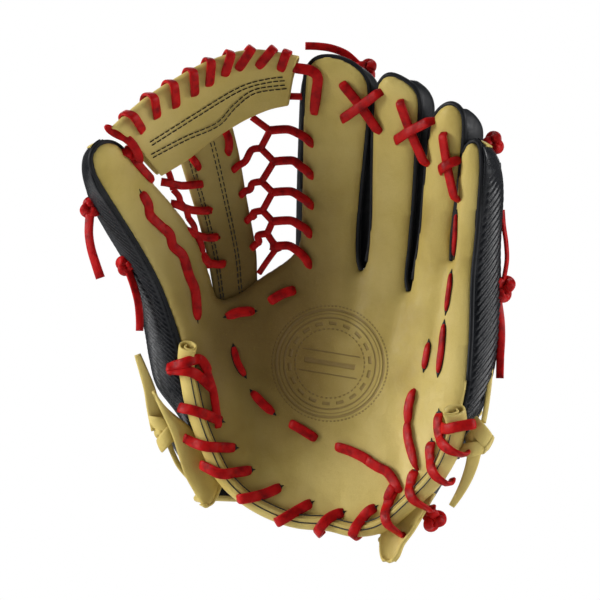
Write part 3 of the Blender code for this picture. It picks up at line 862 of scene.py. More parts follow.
BAR_STITCH_LINES = [
    [(-98.6, 227.4), (-70.0, 245.6), (-41.0, 262.6), (-22.4, 268.2), (-7.9, 269.8)],
    [(-98.0, 219.6), (-76.7, 231.0), (-55.0, 240.6), (-44.0, 251.7), (-30.0, 261.6), (-7.9, 264.8)],
]


def bar_spot(t, share):
    """The (x, z) place a share t along the web bar and a share up it."""
    return along([along(edge, t) for edge in BAR_LINES], share)


BAR_LINES = [smooth(edge, 6) for edge in (BAR_LOW, BAR_MID, BAR_TOP)]


def build_bar():
    """The rolled bar across the top of the web, stitched along its front."""
    columns = 60
    grid = []
    for share, depth in BAR_SECTION:
        row = []
        for k in range(columns + 1):
            x, z = bar_spot(k / columns, share)
            wrinkle = 0.3 * noise.noise(Vector((x, z, depth)) / 11.0)
            row.append(layer(x, z, depth + wrinkle))
        grid.append(row)
    leather("web_bar_leather", grid, 1.9, CAMEL, "thumb_side", "web_bar")
    strips = []
    for spots in BAR_STITCH_LINES:
        line = smooth(spots, 12)
        sides = [flat_way(line, k)[1] for k in range(len(line))]
        ups = [-inward(x) for x, _ in line]
        for shift in (-1.15, 1.15):
            path = [layer(x + shift * side.x, z + shift * side.z, -5.3) for (x, z), side in zip(line, sides)]
            strips += stitches(path, ups)
    laces("web_bar_stitching", strips, THREAD, "thumb_side", power=2.0, corners=6)


def stitches(path, ups, length=3.0, gap=1.1, wide=0.75, thick=0.6):
    """Short lengths of thread along a path, each sunk at its ends."""
    run = [0.0]
    for a, b in zip(path, path[1:]):
        run.append(run[-1] + (b - a).length)

    def at(distance):
        k = min(max(np.searchsorted(run, distance) - 1, 0), len(path) - 2)
        t = (distance - run[k]) / max(run[k + 1] - run[k], 1e-6)
        return path[k].lerp(path[k + 1], t), Vector(ups[k])

    found = []
    start = 0.0
    while start + length < run[-1]:
        spots = [at(start + length * share) for share in (0.0, 0.2, 0.5, 0.8, 1.0)]
        sink = (0.55, 0.1, 0.0, 0.1, 0.55)
        line = [point - up * s for (point, up), s in zip(spots, sink)]
        found.append((line, [up for _, up in spots], wide, thick))
        start += length + gap
    return found


POST_ROWS = [
    ((-52.0, 114.0), (-25, 127.0)), ((-54.5, 126.5), (-27, 139.5)), ((-57.5, 146), (-27.5, 157)),
    ((-61, 164), (-30, 174)), ((-66.5, 186), (-33.5, 194)), ((-74, 212), (-38, 222)),
    ((-79, 230), (-42, 240)),
]
POST_SECTION = [(0.0, 7.5), (0.03, 5.6), (0.08, 4.9), (0.25, 4.6), (0.5, 4.4), (0.75, 4.6), (0.92, 4.9),
                (0.97, 5.6), (1.0, 7.5)]


def post_spot(t, share):
    """The (x, z) place a share t up the post and a share across it."""
    xl, zl, xr, zr = along(POST_LINE, t)
    return xl + (xr - xl) * share, zl + (zr - zl) * share


POST_LINE = smooth([(*left, *right) for left, right in POST_ROWS], 6)


def build_post():
    """The stitched post that hangs from the bar to the palm."""
    grid = []
    for k in range(41):
        row = []
        for share, depth in POST_SECTION:
            x, z = post_spot(k / 40, share)
            row.append(layer(x, z, depth + 0.4 * noise.noise(Vector((x, z, 1.0)) / 12.0)))
        grid.append(row)
    leather("web_post_leather", grid, 2.2, CAMEL, "thumb_side", "web_post")
    strips = []
    for share in (0.13, 0.19, 0.55, 0.61):
        line = [post_spot(k / 50, share) for k in range(51)]
        strips += stitches([layer(x, z, 4.05) for x, z in line], [-inward(x) for x, _ in line])
    laces("web_post_stitching", strips, THREAD, "thumb_side", power=2.0, corners=6)


# Where each wrap of the bar starts on its front and where it goes over its top
BAR_WRAPS = [
    ((-104, 234.7), (-112.5, 247.5)), ((-94.9, 243.8), (-97.5, 260)), ((-82.5, 250.9), (-84.3, 268.5)),
    ((-70.2, 258.7), (-71.2, 276.5)), ((-60.5, 265.2), (-58.8, 283)), ((-50.1, 271.7), (-44.8, 287.8)),
    ((-41, 275.6), (-30.5, 290.3)), ((-27.5, 277.2), (-16, 290)), ((-12.5, 275.2), (-7.5, 288.4)),
]


def build_bar_wraps():
    """The lace that whips over the bar's rolled top."""
    strips = []
    for (xf, zf), (xt, zt) in BAR_WRAPS:
        run = math.hypot(xt - xf, zt - zf)
        ux, uz = (xt - xf) / run, (zt - zf) / run
        run -= 2.2
        route = [(0.0, -3.2), (0.5, -5.8), (3.0, -6.6), (0.55 * run, -6.9), (run - 2.6, -6.9),
                 (run - 0.4, -5.0), (run + 0.9, -1.4), (run + 1.1, 2.0), (run - 0.6, 5.4),
                 (run - 3.4, 7.2), (0.6 * run, 7.0), (0.4 * run, 5.8), (0.36 * run, 4.4)]
        path, ups = [], []
        for go, depth in smooth(route, 3):
            x, z = xf + ux * go, zf + uz * go
            path.append(layer(x, z, depth))
            lean = max(0.0, go - run + 4.0) / 5.5
            ups.append((inward(x) * (depth - 0.3) + Vector((ux, 0.0, uz)) * 7.0 * lean).normalized())
        strips.append((path, ups, LACE_WIDE, LACE_THICK))
    laces("web_bar_lacing", strips, RED, "thumb_side", "web_bar_lace", taper=0.45)


def free_strip(route, wide=4.6, thick=3.0, steps=5):
    """A lace through free air: route of (x, z, depth)."""
    line = smooth(route, steps)
    return [layer(*spot) for spot in line], [Vector((0.0, -1.0, 0.0))] * len(line), wide, thick


def finger_strand(nx, nz, ex, ez):
    """A lace from a node of the lattice to its hole in the index finger."""
    drop = nz - ez
    path, _, wide, thick = free_strip([
        (nx, nz, 1.4), (nx + 7, nz + 0.5, -0.4), (nx + 13, nz + 0.2, -2.4), (0.5, ez + 0.62 * drop, -4.4),
        (4.2, ez + 0.2 * drop + 1.0, -4.7), (ex, ez - 0.6, -3.6), (ex + 1.6, ez - 1.6, 0.6)], 5.8)
    return path, [Vector((0.05, -1.0, 0.1))] * len(path), wide, thick


def post_strand(nx, nz, ex, ez):
    """A lace from a node of the lattice to its hole in the post."""
    return free_strip([
        (nx, nz, 1.6), (nx - 6, nz - 1.2, 1.2), (0.6 * ex + 0.4 * nx, 0.62 * ez + 0.38 * nz, 1.4),
        (ex + 2.0, ez + 2.0, 2.2), (ex, ez, 3.0), (ex - 0.6, ez - 1.0, 6.5)], 4.8, steps=4)


def thumb_strand(ax, az, bx, bz):
    """A lace from the thumb's edge to its hole in the post."""
    return free_strip([
        (ax - 3.2, az + 0.6, 2.2), (ax, az, 0.8), (0.6 * ax + 0.4 * bx, 0.5 * (az + bz) - 1.5, 0.6),
        (bx - 4, bz - 0.4, 1.4), (bx - 0.6, bz, 1.9), (bx + 0.8, bz, 5.4)], 5.4, steps=4)


LATTICE_NODES = [(-19.5, 237.5), (-25.5, 226), (-17, 217.5), (-25, 204.5), (-18, 197.5), (-24.5, 185.5),
                 (-18, 178.5), (-21.5, 170.5)]
INDEX_HOLES = [(7.4, 230), (7.4, 209.3), (7.4, 189.8), (6.6, 171), (6.4, 151)]
POST_HOLES = [(-42.2, 212.6), (-37.4, 196.3), (-34.0, 179.4), (-30.5, 161.8)]
THUMB_STRANDS = [(-86, 203, -63.5, 202.5), (-80, 189, -58.5, 185.5), (-73, 172, -54, 168),
                 (-66.5, 155, -49.5, 150.5)]
THUMB_NODES = [(-82, 198.5), (-77.5, 190.5), (-72.5, 180.5), (-68, 170.5), (-63.5, 157.5), (-59, 148)]


def build_index_lattice():
    """The open lacing between the post and the index finger."""
    nodes = LATTICE_NODES
    strips = [free_strip([(-31, 246, 2.5), (-27, 243, 2.2), (-19.5, 237.5, 1.8)])]
    for (ax, az), (bx, bz) in zip(nodes, nodes[1:]):
        middle = (0.5 * (ax + bx), 0.5 * (az + bz), 1.0)
        strips.append(free_strip([(ax, az, 1.8), middle, (bx, bz, 1.8)], thick=3.4))
    strips += [finger_strand(*start, *end) for start, end in zip(nodes[::2] + [(-19.5, 162)], INDEX_HOLES)]
    strips += [post_strand(*start, *end) for start, end in zip(nodes[1::2], POST_HOLES)]
    strips += [
        free_strip([(-21.5, 170.5, 1.8), (-18, 165, 1.2), (-14, 160.5, 1.0), (-19.5, 162, 1.8)]),
        free_strip([(-14, 162.5, 1.0), (-19, 156, 1.4), (-23.5, 149.5, 2.4), (-26.5, 144.5, 5.5)], 4.0, 2.8),
        free_strip([(-12, 259.5, 5.5), (-4, 259.2, 3.0), (3.5, 259, 4.5)], thick=2.8),
    ]
    laces("web_lattice_lacing", strips, RED, "fold", "index_lattice_lace", power=2.3, corners=10)


def build_thumb_lattice():
    """The lacing between the thumb and the post, and the two ends that hang from the bar."""
    strips = [thumb_strand(*ends) for ends in THUMB_STRANDS]
    for (ax, az), (bx, bz) in zip(THUMB_NODES, THUMB_NODES[1:]):
        middle = (0.5 * (ax + bx) + 0.8, 0.5 * (az + bz), 0.2)
        strips.append(free_strip([(ax, az, 1.2), middle, (bx, bz, 1.2)], 4.2))
    strips += [
        free_strip([(-84, 212, 5.0), (-83, 206, 2.4), (-82, 198.5, 1.2)], 4.2),
        free_strip([(-70, 221, 5.0), (-68, 217.5, 2.0), (-65.5, 214, 3.0), (-65, 213, 6.0)], 5.0),
        free_strip([(-47.5, 237, 5.0), (-46, 232, 2.2), (-45.8, 226, 2.6), (-46.5, 222, 6.5)], 5.4),
    ]
    laces("thumb_web_lacing", strips, RED, "thumb_side", "thumb_lattice_lace", power=2.3, corners=10)


# --- the heel binding ---------------------------------------------------------

BINDING_LINE = ([(-75.4, 97.0)] + BINDING_THUMB[1:-1] + [(-1.5, -17.2)]
                + BINDING_PINKY[1:-1][::-1] + [(102.2, 56.8)])


def ends_near(line, reach):
    """For each point of a line, how near it is to the line's first and last ends, 1 at the end."""
    run = runs(line)
    return [(max(0.0, 1.0 - r / reach), max(0.0, 1.0 - (run[-1] - r) / reach)) for r in run]


def build_binding():
    """The leather rolled over the heel's edge, with its coiled open ends and its seams."""
    line = smooth(BINDING_LINE, 8)
    near = ends_near(line, 15.0)
    path = [layer(x, z, BINDING_DEPTH - 6.0 * max(ends) ** 2) for (x, z), ends in zip(line, near)]
    turns, grid, ups = 44, [], []
    seams = {84.0: [], 143.0: []}
    for k, middle in enumerate(path):
        x, z = line[k]
        go = (path[min(k + 1, len(path) - 1)] - path[max(k - 1, 0)]).normalized()
        _, side = flat_way(line, k)
        up = -inward(x)
        up = (up - go * up.dot(go)).normalized()
        swell = 1.0 + 0.06 * noise.noise(Vector((x, z, 2.0)) / 14.0) + 0.12 * near[k][0] + 0.28 * near[k][1]
        row = []
        for c in range(turns + 1):
            share = c / turns
            a = math.radians(118.0 - 560.0 * share)
            r = (BINDING_R - 3.6 * max(0.0, share - 0.45) / 0.55) * swell
            row.append(middle + side * (r * math.cos(a)) + up * (r * math.sin(a)))
        grid.append(row)
        for angle, found in seams.items():
            a = math.radians(angle)
            found.append(middle + (side * math.cos(a) + up * math.sin(a)) * (BINDING_R * swell + 0.1))
        ups.append(up)
    leather("heel_binding_roll", grid, 1.5, PALE, "fold", "heel_binding", "thumb_heel_binding")
    strips = [(found[6:-6], ups[6:-6], *SEAM_THREAD_SIZE) for found in seams.values()]
    laces("heel_binding_seams", strips, THREAD, "fold", power=2.0, corners=6)


def roll_wrap(spots, roll, wide=7.0, thick=2.5):
    """A lace from a hole in the palm over the rolled binding and behind it."""
    line = smooth(spots, 10)
    reach = BINDING_R * 1.06 + 0.5 * thick + 0.3
    path, ups = [], []
    (ax, az), (bx, bz) = line[0], line[-1]
    run = math.hypot(bx - ax, bz - az)
    way = Vector(((bx - ax) / run, 0.0, (bz - az) / run))
    offs = [off_line(roll, x, z) for x, z in line]
    crossing = offs.index(min(offs))
    for k, ((x, z), off, hide) in enumerate(zip(line, offs, hide_depths(line))):
        over = BINDING_DEPTH - math.sqrt(max(reach ** 2 - off ** 2, 0.0)) if off < reach else 9.0
        if k <= crossing:
            flat = hide - 1.4 + 3.4 * (1.0 - min(k / 4.0, 1.0)) ** 2
            depth = min(over, flat) if off < reach else min(flat, BINDING_DEPTH + 1.5 + (off - reach))
            lean = 0.25 * (off / reach if off < reach else 0.0)
            ups.append((-inward(x) - way * lean).normalized())
        else:
            depth = over if off < reach else BINDING_DEPTH + 1.2 * (off - reach)
            lean = min(off / reach, 1.0)
            ups.append((-inward(x) * math.sqrt(1.0 - 0.95 * lean ** 2) + way * lean).normalized())
        path.append(layer(x, z, depth))
    for back, out in ((2.5, 0.6), (5.5, -0.6), (7.5, -3.5)):
        path.append(layer(bx + way.x * out, bz + way.z * out, BINDING_DEPTH + back))
        ups.append((way + inward(bx) * (0.12 * back - 0.3)).normalized())
    return relaxed(path, 3), relaxed(ups, 3), wide, thick


def relaxed(points, rounds):
    """A run of vectors with its kinks evened out and its ends kept."""
    for _ in range(rounds):
        points = [points[0]] + [0.25 * a + 0.5 * b + 0.25 * c
                                for a, b, c in zip(points, points[1:], points[2:])] + [points[-1]]
    return points


THUMB_WRAPS = [
    [(-61.0, 79.0), (-66.5, 87.6), (-75.0, 87.0), (-85.0, 82.6)],
    [(-57.0, 67.0), (-66, 75.5), (-75, 80.0), (-84.0, 81.0)],
    [(-51.8, 47.4), (-64, 52.0), (-78.0, 56.5)],
    [(-42.6, 30.0), (-56, 30.6), (-66, 31.8), (-74.0, 36.5)],
    [(-31.7, 15.5), (-44, 14.0), (-54.7, 13.6), (-64.0, 19.0)],
    [(-12.6, 4.6), (-22, 0.5), (-31, -1.6), (-41.0, -3.2)],
]
PINKY_WRAPS = [
    [(7.8, -5.6), (-2, -11.0), (-15.5, -18.6)],
    [(29.0, -11.4), (20.5, -15.0), (10.8, -26.0)],
    [(50.2, -7.6), (43, -13.6), (35.4, -27.6)],
    [(62.6, 4.6), (58.4, -6), (59.4, -16.0), (63.8, -26.5)],
    [(76.0, 16.8), (73.4, 8.0), (75.6, 1.0), (82.0, -9.5)],
    [(86.6, 35.6), (86.4, 24), (94.4, 8.2)],
    [(91.2, 54.6), (91.6, 40.3), (96, 34.6), (104.2, 27.4)],
    [(92.0, 45.4), (99, 44.2), (109.8, 47.6)],
]


def hole_spots(spots):
    """The short line a wrap's hole is cut along, at its palm end, where the hole's painted shade goes."""
    (ax, az), (bx, bz) = spots[:2]
    run = math.hypot(bx - ax, bz - az)
    ux, uz = (bx - ax) / run, (bz - az) / run
    return [(ax + out * ux, az + out * uz) for out in (-0.6, 1.0, 2.6)]


def build_heel_lacing():
    """The red lace whipped over the binding."""
    roll = smooth(BINDING_LINE, 6)
    # Painted shade in the lace holes, as dark strips on the hide
    paint_slit_shade("heel_eyelet_shade", [(hole_spots(spots), 4.6) for spots in THUMB_WRAPS + PINKY_WRAPS], "fold")
    down = smooth([(-64.6, 88.4), (-62.0, 79.0), (-58.4, 68.0), (-56.4, 56.0), (-54.2, 42.6)], 8)
    strips = [roll_wrap(spots, roll) for spots in THUMB_WRAPS]
    strips.append(dived(down, [FACE_LACE_DEPTH] * len(down), 5.6, 2.4, dive=5.0))
    laces("thumb_heel_lacing", strips, RED, "fold", "thumb_heel_lace", taper=0.3)
    strips = [roll_wrap(spots, roll) for spots in PINKY_WRAPS]
    laces("heel_lacing", strips, RED, "fold", "heel_lace", taper=0.3)


# --- laces that lie on the leather ----------------------------------------------

def dived(line, depths, wide, thick, dive=4.2, reach=3.0, twist=0.0):
    """A strip at given depths whose two ends go down into the leather."""
    path, ups = [], []
    run = runs(line)
    for k, (x, z) in enumerate(line):
        near = min(run[k], run[-1] - run[k])
        sink = dive * (1.0 - min(near / reach, 1.0)) ** 2
        path.append(layer(x, z, depths[k] + sink))
        tilt = twist * math.sin(2.0 * math.pi * run[k] / run[-1])
        ups.append((-inward(x) + flat_way(line, k)[1] * tilt).normalized())
    return path, ups, wide, thick


def crossed(first, second):
    """Two laces that cross over the gap between two fingers."""
    strips = []
    for spots, high in ((first, 0.0), (second, 2.3)):
        line = smooth(spots, 12)
        last = len(line) - 1
        depths = [CROSS_DEPTH - high * math.exp(-((k / last - 0.5) / 0.22) ** 2) for k in range(last + 1)]
        strips.append(dived(line, depths, *CROSS_SIZE, dive=5.0, reach=3.5))
    return strips


def pillow(spots, lift=1.5, wide=6.4, thick=2.6):
    """A lace that lies on the hide between two holes."""
    line = smooth(spots, 8)
    return dived(line, [depth - lift for depth in hide_depths(line)], wide, thick, 4.4, twist=0.12)


def slit_shade_strip(spots, wide, beyond=1.8):
    """Painted shade in the cut that a lace passes through: a dark strip on the hide, a little longer than the
    lace that shows.
    """
    line = smooth(spots, 8)
    (ax, az), (bx, bz) = line[:2]
    (cx, cz), (dx, dz) = line[-2:]
    head, tail = beyond / math.hypot(bx - ax, bz - az), beyond / math.hypot(dx - cx, dz - cz)
    line.insert(0, (ax - (bx - ax) * head, az - (bz - az) * head))
    line.append((dx + (dx - cx) * tail, dz + (dz - cz) * tail))
    path = [layer(x, z, depth - 0.15) for (x, z), depth in zip(line, hide_depths(line))]
    return path, [-inward(x) for x, _ in line], wide, 0.8


def paint_slit_shade(name, cuts, body):
    """Painted shade in all the cuts of one run of laces, as dark strips, from (spots, width) pairs."""
    # The welt's black leather stands in for the shade inside each cut
    laces(name, [slit_shade_strip(*cut) for cut in cuts], WELT_AND_SLIT_SHADE, body, power=2.0, corners=8, taper=0.95, reach=3.0)


# The crossed laces between the fingers, each pair from its first to its second lace
FINGER_CROSSES = [
    ([(27.5, 267.5), (40.5, 252.2), (53.2, 235.0)], [(27.2, 243.2), (40.0, 250.5), (53.8, 261.0)]),
    ([(65.5, 255.6), (73.5, 234.8), (83.2, 213.5)], [(62.2, 228.8), (73.5, 234.6), (86.4, 241.6)]),
    ([(93.4, 234.2), (97.2, 211.5), (102.2, 190.0)], [(90.5, 209.0), (96.5, 212.0), (102.0, 216.2)]),
]


def build_finger_laces():
    """The crossed laces at the fingertips and the one that comes off the web."""
    strips = [strip for pair in FINGER_CROSSES for strip in crossed(*pair)]
    across = smooth([(-5, 276.6), (1.5, 276), (8, 274.6), (12.2, 270.4), (11.4, 261), (9.6, 247)], 8)
    strips.append(dived(across, [FACE_LACE_DEPTH] * len(across), 7.0, 2.5, dive=5.0))
    laces("fingertip_lacing", strips, RED, "finger_side", "fingertip_lace", taper=0.35)


# The pinky's slits, each from its top to its bottom, and how wide its lace shows
PINKY_SLITS = [(101.0, 183.0, 99.6, 154.0, 3.0), (98.6, 145.0, 95.2, 118.5, 3.4),
               (94.4, 112.5, 90.6, 78.5, 4.6), (84.2, 100.0, 81.7, 81.5, 4.4)]


def build_thumb_face():
    """The waved lace up the thumb and the laces at its tip."""
    strips = [pillow(THUMB_WAVE[first:last], 0.6, 6.8) for first, last in ((0, 5), (3, 8), (6, 10))]
    # Painted shade in the cut under the waved lace
    paint_slit_shade("thumb_face_slit_shade", [(THUMB_WAVE, 8.6)], "thumb_side")
    strips += [
        pillow([(-110.5, 225.0), (-105.5, 215.5), (-94.5, 203.0)], 1.3, 5.6),
        pillow([(-113.5, 222.5), (-108.5, 220.0), (-103.5, 221.5)], 2.6, 5.8),
        free_strip([(-122.5, 238, 3.0), (-118, 233.5, 0.0), (-112.5, 229.5, -4.0), (-108.5, 223, -5.6),
                    (-105.0, 215, -4.6)], 5.8, 2.6),
    ]
    laces("thumb_face_lacing", strips, RED, "thumb_side", "thumb_face_lace", taper=0.6)


# The thumb side's palm laces, each with how wide it shows
THUMB_PALM_LACES = [
    ([(-49.5, 115.8), (-40, 118.8), (-29.8, 119.4)], 6.8),
    ([(-44.2, 96.5), (-41.5, 86), (-36.2, 76.5)], 4.6),
    ([(-32.2, 66.8), (-25, 59), (-17.0, 52.0)], 6.0),
]


def build_palm_laces():
    """The laces on the palm and along the little finger's edge."""
    strips = [pillow(spots, 1.0, wide) for spots, wide in THUMB_PALM_LACES]
    # Painted shade in the cuts of the palm laces
    paint_slit_shade("thumb_palm_slit_shade", [(spots, 5.6) for spots, _ in THUMB_PALM_LACES], "fold")
    laces("thumb_palm_lacing", strips, RED, "fold", "thumb_palm_lace", taper=0.75, reach=3.2)

    strips = [pillow([(-20.5, 125.4), (-12, 130.5), (-2.6, 133.6)], 1.4, 6.6),
              pillow([(-6.8, 46.2), (2, 41.5), (11.6, 35.6)], 1.4, 6.4),
              pillow([(23.6, 31.4), (33.8, 28.4), (42.9, 24.4), (47.5, 21.0)], 1.4, 6.8),
              pillow([(44.0, 23.4), (52.0, 18.6), (59.0, 14.6), (66.2, 2.6)], 1.9, 6.8),
              pillow([(62.8, 7.8), (59.6, 1.0), (58.6, -4.0)], 2.2, 6.4)]
    laces("palm_lacing", strips, RED, "finger_side", "palm_lace", taper=0.6)

    strips = [pillow([(75.8, 69.4), (72.9, 58.5), (72.3, 44.5)], 1.5, 6.4),
              pillow([(71.9, 49.0), (72.6, 36.0), (77.9, 16.8)], 1.9, 6.6)]
    cuts = []
    for ax, az, bx, bz, wide in PINKY_SLITS:
        spots = [(ax, az), (0.5 * (ax + bx) + 0.5, 0.5 * (az + bz)), (bx, bz)]
        strips.append(pillow(spots, 0.7, wide, 2.2))
        cuts.append((spots, wide + 1.0))
    # Painted shade in the pinky's lace cuts
    paint_slit_shade("pinky_slit_shade", cuts, "finger_side")
    laces("pinky_heel_lacing", strips, RED, "finger_side", "pinky_heel_lace", taper=0.92, reach=2.6)


# --- knots, tails and ties ----------------------------------------------------

def knot_strip(centre, size, turn, wide, thick=2.8):
    """A pulled-tight overhand knot."""
    path, ups = [], []
    steps = 60
    for k in range(steps + 1):
        t = 2.0 * math.pi * k / steps + turn
        x = (math.sin(t) + 1.7 * math.sin(2 * t)) / 2.9
        z = (math.cos(t) - 1.7 * math.cos(2 * t)) / 2.9
        y = -math.sin(3 * t) * 0.441
        spin_x = x * math.cos(turn) - z * math.sin(turn)
        spin_z = x * math.sin(turn) + z * math.cos(turn)
        path.append(Vector(centre) + Vector((spin_x, y, spin_z)) * size)
        ups.append(Vector((0.55 * spin_x, -1.0, 0.55 * spin_z)).normalized())
    return path, ups, wide, thick


KNOTS = {
    # name: centre, size, turn
    "index_knot": ((43.0, -22.0, 277.5), 6.2, 0.4),
    "thumb_knot": ((-136.0, -44.0, 186.5), 5.0, 1.2),
    "thumb_low_knot": ((-114.4, -24.0, 149.5), 4.6, 2.0),
    "pinky_top_knot": ((124.5, -54.0, 228.0), 5.8, 0.9),
    "pinky_knot": ((131.0, -47.0, 134.5), 7.4, 0.2),
    "heel_knot": ((86.5, -45.5, -15.5), 6.4, 1.7),
    "thumb_wrist_tie": ((-88.0, -12.0, 40.0), 5.6, 0.7),
    "pinky_wrist_tie": ((114.5, -66.0, 37.0), 5.8, 2.4),
}
TIE_STRINGS = {
    "thumb_wrist_tie": [(-87, -10, 34), (-84, -9, 26), (-79.5, -8, 17), (-71, -6, 7)],
    "pinky_wrist_tie": [(118, -62, 48), (120.5, -56, 60), (123.0, -50, 78), (124.6, -46, 97)],
}
TIE_WRAPS = {
    # name: the way the wraps go round, then each wrap's shift along it, radius, lean and width
    "thumb_wrist_tie": ((-0.38, 0.0, 0.92), [(-3.2, 7.4, 0.5, 9.6), (5.4, 6.4, -0.75, 8.6)]),
    "pinky_wrist_tie": ((0.46, 0.0, 0.89), [(4.6, 7.6, -0.45, 10.4), (-6.4, 6.8, 0.7, 9.4)]),
}


def tie_wrap(centre, axis, shift, radius, lean, wide):
    """One turn of a broad thong round a knot, leaning along its axis."""
    axis = Vector(axis).normalized()
    front = Vector((0.0, -1.0, 0.0))
    side = axis.cross(front)
    path, ups = [], []
    for k in range(33):
        a = 2.0 * math.pi * 1.12 * k / 32
        out = side * math.cos(a) + front * (0.78 * math.sin(a))
        grow = radius * (1.0 + 0.07 * k / 32)
        path.append(Vector(centre) + out * grow + axis * (shift + lean * radius * math.cos(a)))
        ups.append(out.normalized())
    return path, ups, wide, 2.3


KNOT_STEMS = {
    # name: where the lace goes into the leather behind its knot
    "index_knot": (31.0, -31.0, 265.0),
    "thumb_knot": (-117.0, -40.0, 190.0),
    "thumb_low_knot": (-95.0, -22.0, 151.0),
    "pinky_top_knot": (106.0, -50.0, 224.0),
    "pinky_knot": (112.0, -45.0, 137.0),
    "heel_knot": (79.0, -44.0, -1.0),
}


def build_knots():
    """The knots of the laces and of the wrist ties."""
    for name, (centre, size, turn) in KNOTS.items():
        is_tie = name in TIE_STRINGS
        strips = [knot_strip(centre, size, turn, 7.4 if is_tie else 6.6)]
        if is_tie:
            axis, wraps = TIE_WRAPS[name]
            strips += [tie_wrap(centre, axis, *wrap) for wrap in wraps]
            line = smooth(TIE_STRINGS[name], 6)
            strips.append((line, [Vector((0.3, -1.0, 0.0))] * len(line), *STRING_SIZE))
        else:
            stem = [Vector(centre).lerp(Vector(KNOT_STEMS[name]), k / 8) for k in range(9)]
            strips.append((stem, [Vector((0.2, -1.0, 0.1))] * len(stem), *STEM_SIZE))
        laces(name + "_lace", strips, PALE if is_tie else RED, side_of(name), name, power=2.4)


TAILS = {
    # name: points from its knot to its free end, and width
    "index_tail": ([(36.5, -22, 282.5), (30, -23, 288), (21, -24, 291.5), (12, -25, 292.8),
                    (3.5, -26, 293)], 5.2),
    "thumb_tail": ([(-136.5, -44, 180.5), (-137, -44, 170), (-135.5, -44, 160), (-132.5, -44, 150),
                    (-129.5, -44, 141)], 6.3),
    "thumb_low_tail": ([(-111.5, -24.5, 143.5), (-108.5, -25, 135), (-106, -25, 125), (-105, -25, 115),
                        (-105, -25, 106.5)], 5.2),
    "pinky_tail": ([(132.5, -47, 142.5), (134, -48, 153), (133.4, -49, 164), (131.8, -50, 175),
                    (131, -51, 185)], 5.2),
    "pinky_low_tail": ([(128.5, -47, 126.5), (130.2, -47, 114), (130.5, -47, 102), (129.8, -47, 90),
                        (129.5, -47, 76)], 5.2),
    "thumb_tie_tail": ([(-94, -12, 46), (-96.5, -13, 56), (-99, -14, 68), (-103, -14, 80),
                        (-107, -14, 91)], 8.0),
    "pinky_tie_tail": ([(112.5, -64.2, 31), (110.5, -63.5, 21), (107, -62.5, 11), (102.5, -62, 2),
                        (97.5, -61.5, -6)], 7.2),
}


# A free end's material, how far it rolls from side to side, its thickness, how much broader it is
# drawn than its cord, and how far it narrows towards its end
LACE_LOOK = (RED, 0.6, 2.6, 1.0, 0.0)
TIE_LOOK = (PALE, 0.2, 2.3, 1.35, 0.6)


def build_tails():
    """The free ends of the laces and ties, as flat cords."""
    for name, (spots, wide) in TAILS.items():
        material, roll, thick, broad, point = TIE_LOOK if "tie" in name else LACE_LOOK
        line = [Vector(spot) for spot in smooth(spots, 6)]
        start = line[0] + (line[0] - line[1]).normalized() * 4.5
        line = [start, line[0].lerp(start, 0.5)] + line
        if name == "pinky_tail":
            ups = [Vector((1.0, -0.35, 0.0)).normalized()] * len(line)
        else:
            turns = [roll * math.sin(2.4 * k / len(line) + len(name)) for k in range(len(line))]
            ups = [Vector((turn, -1.0, 0.0)).normalized() for turn in turns]
        strip = (line, ups, wide * broad, thick)
        piece = laces(name + "_lace", [strip], material, side_of(name), name, power=2.8, point=point)


# --- heel flaps, inside of the glove -------------------------------------------

def plate_grid(rows, depth, columns=14, curl=0.0):
    """A grid over rows of (x, z) points, at a depth, its edges curling back by curl."""
    grid = []
    for level in smooth([sum(row, ()) for row in rows], 6):
        spots = [level[k:k + 2] for k in range(0, len(level), 2)]
        shares = [k / columns for k in range(columns + 1)]
        grid.append([layer(*along(spots, t), depth + curl * abs(2.0 * t - 1.0) ** 3) for t in shares])
    return grid


HEEL_LOBE = [
    ((52.6, -41.2), (55.4, -42.2), (58.4, -41.0)), ((50.6, -38.4), (55.8, -39.6), (61.4, -37.2)),
    ((49.8, -33.5), (56.6, -33), (64.6, -30)), ((50.4, -26), (60, -24), (70.4, -22.4)),
    ((54, -18), (65, -15.4), (75.6, -13.4)), ((62, -9), (71, -7), (80.0, -5)), ((70, -1), (77, 1), (84.0, 3)),
]
THUMB_WING = [
    ((-61.5, -7.2), (-59.6, -8.0), (-57.4, -7.6)), ((-64.2, -3), (-59, -4.4), (-54.0, -5)),
    ((-66.5, 1.5), (-58, 3), (-50, 4.5)), ((-72.5, 14), (-61, 16), (-48.5, 18)),
    ((-79.0, 36), (-70, 37), (-60, 38)), ((-83.5, 47), (-77, 46), (-68, 44)),
    ((-89.0, 59), (-86, 57.5), (-82, 55.5)), ((-92.5, 67), (-91.5, 66.5), (-90.0, 66)),
]


def build_flaps():
    """The heel lobe and the thumb's heel wing, each with a rim along its bottom and right-hand edge."""
    flaps = [("heel_lobe", HEEL_LOBE, 5.2, -2.0), ("thumb_heel_wing", THUMB_WING, 6.4, 3.0)]
    for name, rows, depth, curl in flaps:
        body = side_of(name)
        grid = plate_grid(rows, depth, curl=curl)
        leather(name + "_leather", grid, 2.4, PALE, body, name)
        rim = grid[0][:-1] + [row[-1] for row in grid[:len(grid) * 2 // 3]]
        ups = [Vector((0.0, -1.0, 0.0))] * len(rim)
        laces(name + "_rim", [(rim, ups, *RIM_SIZE)], PALE, body, power=2.0, taper=0.6)


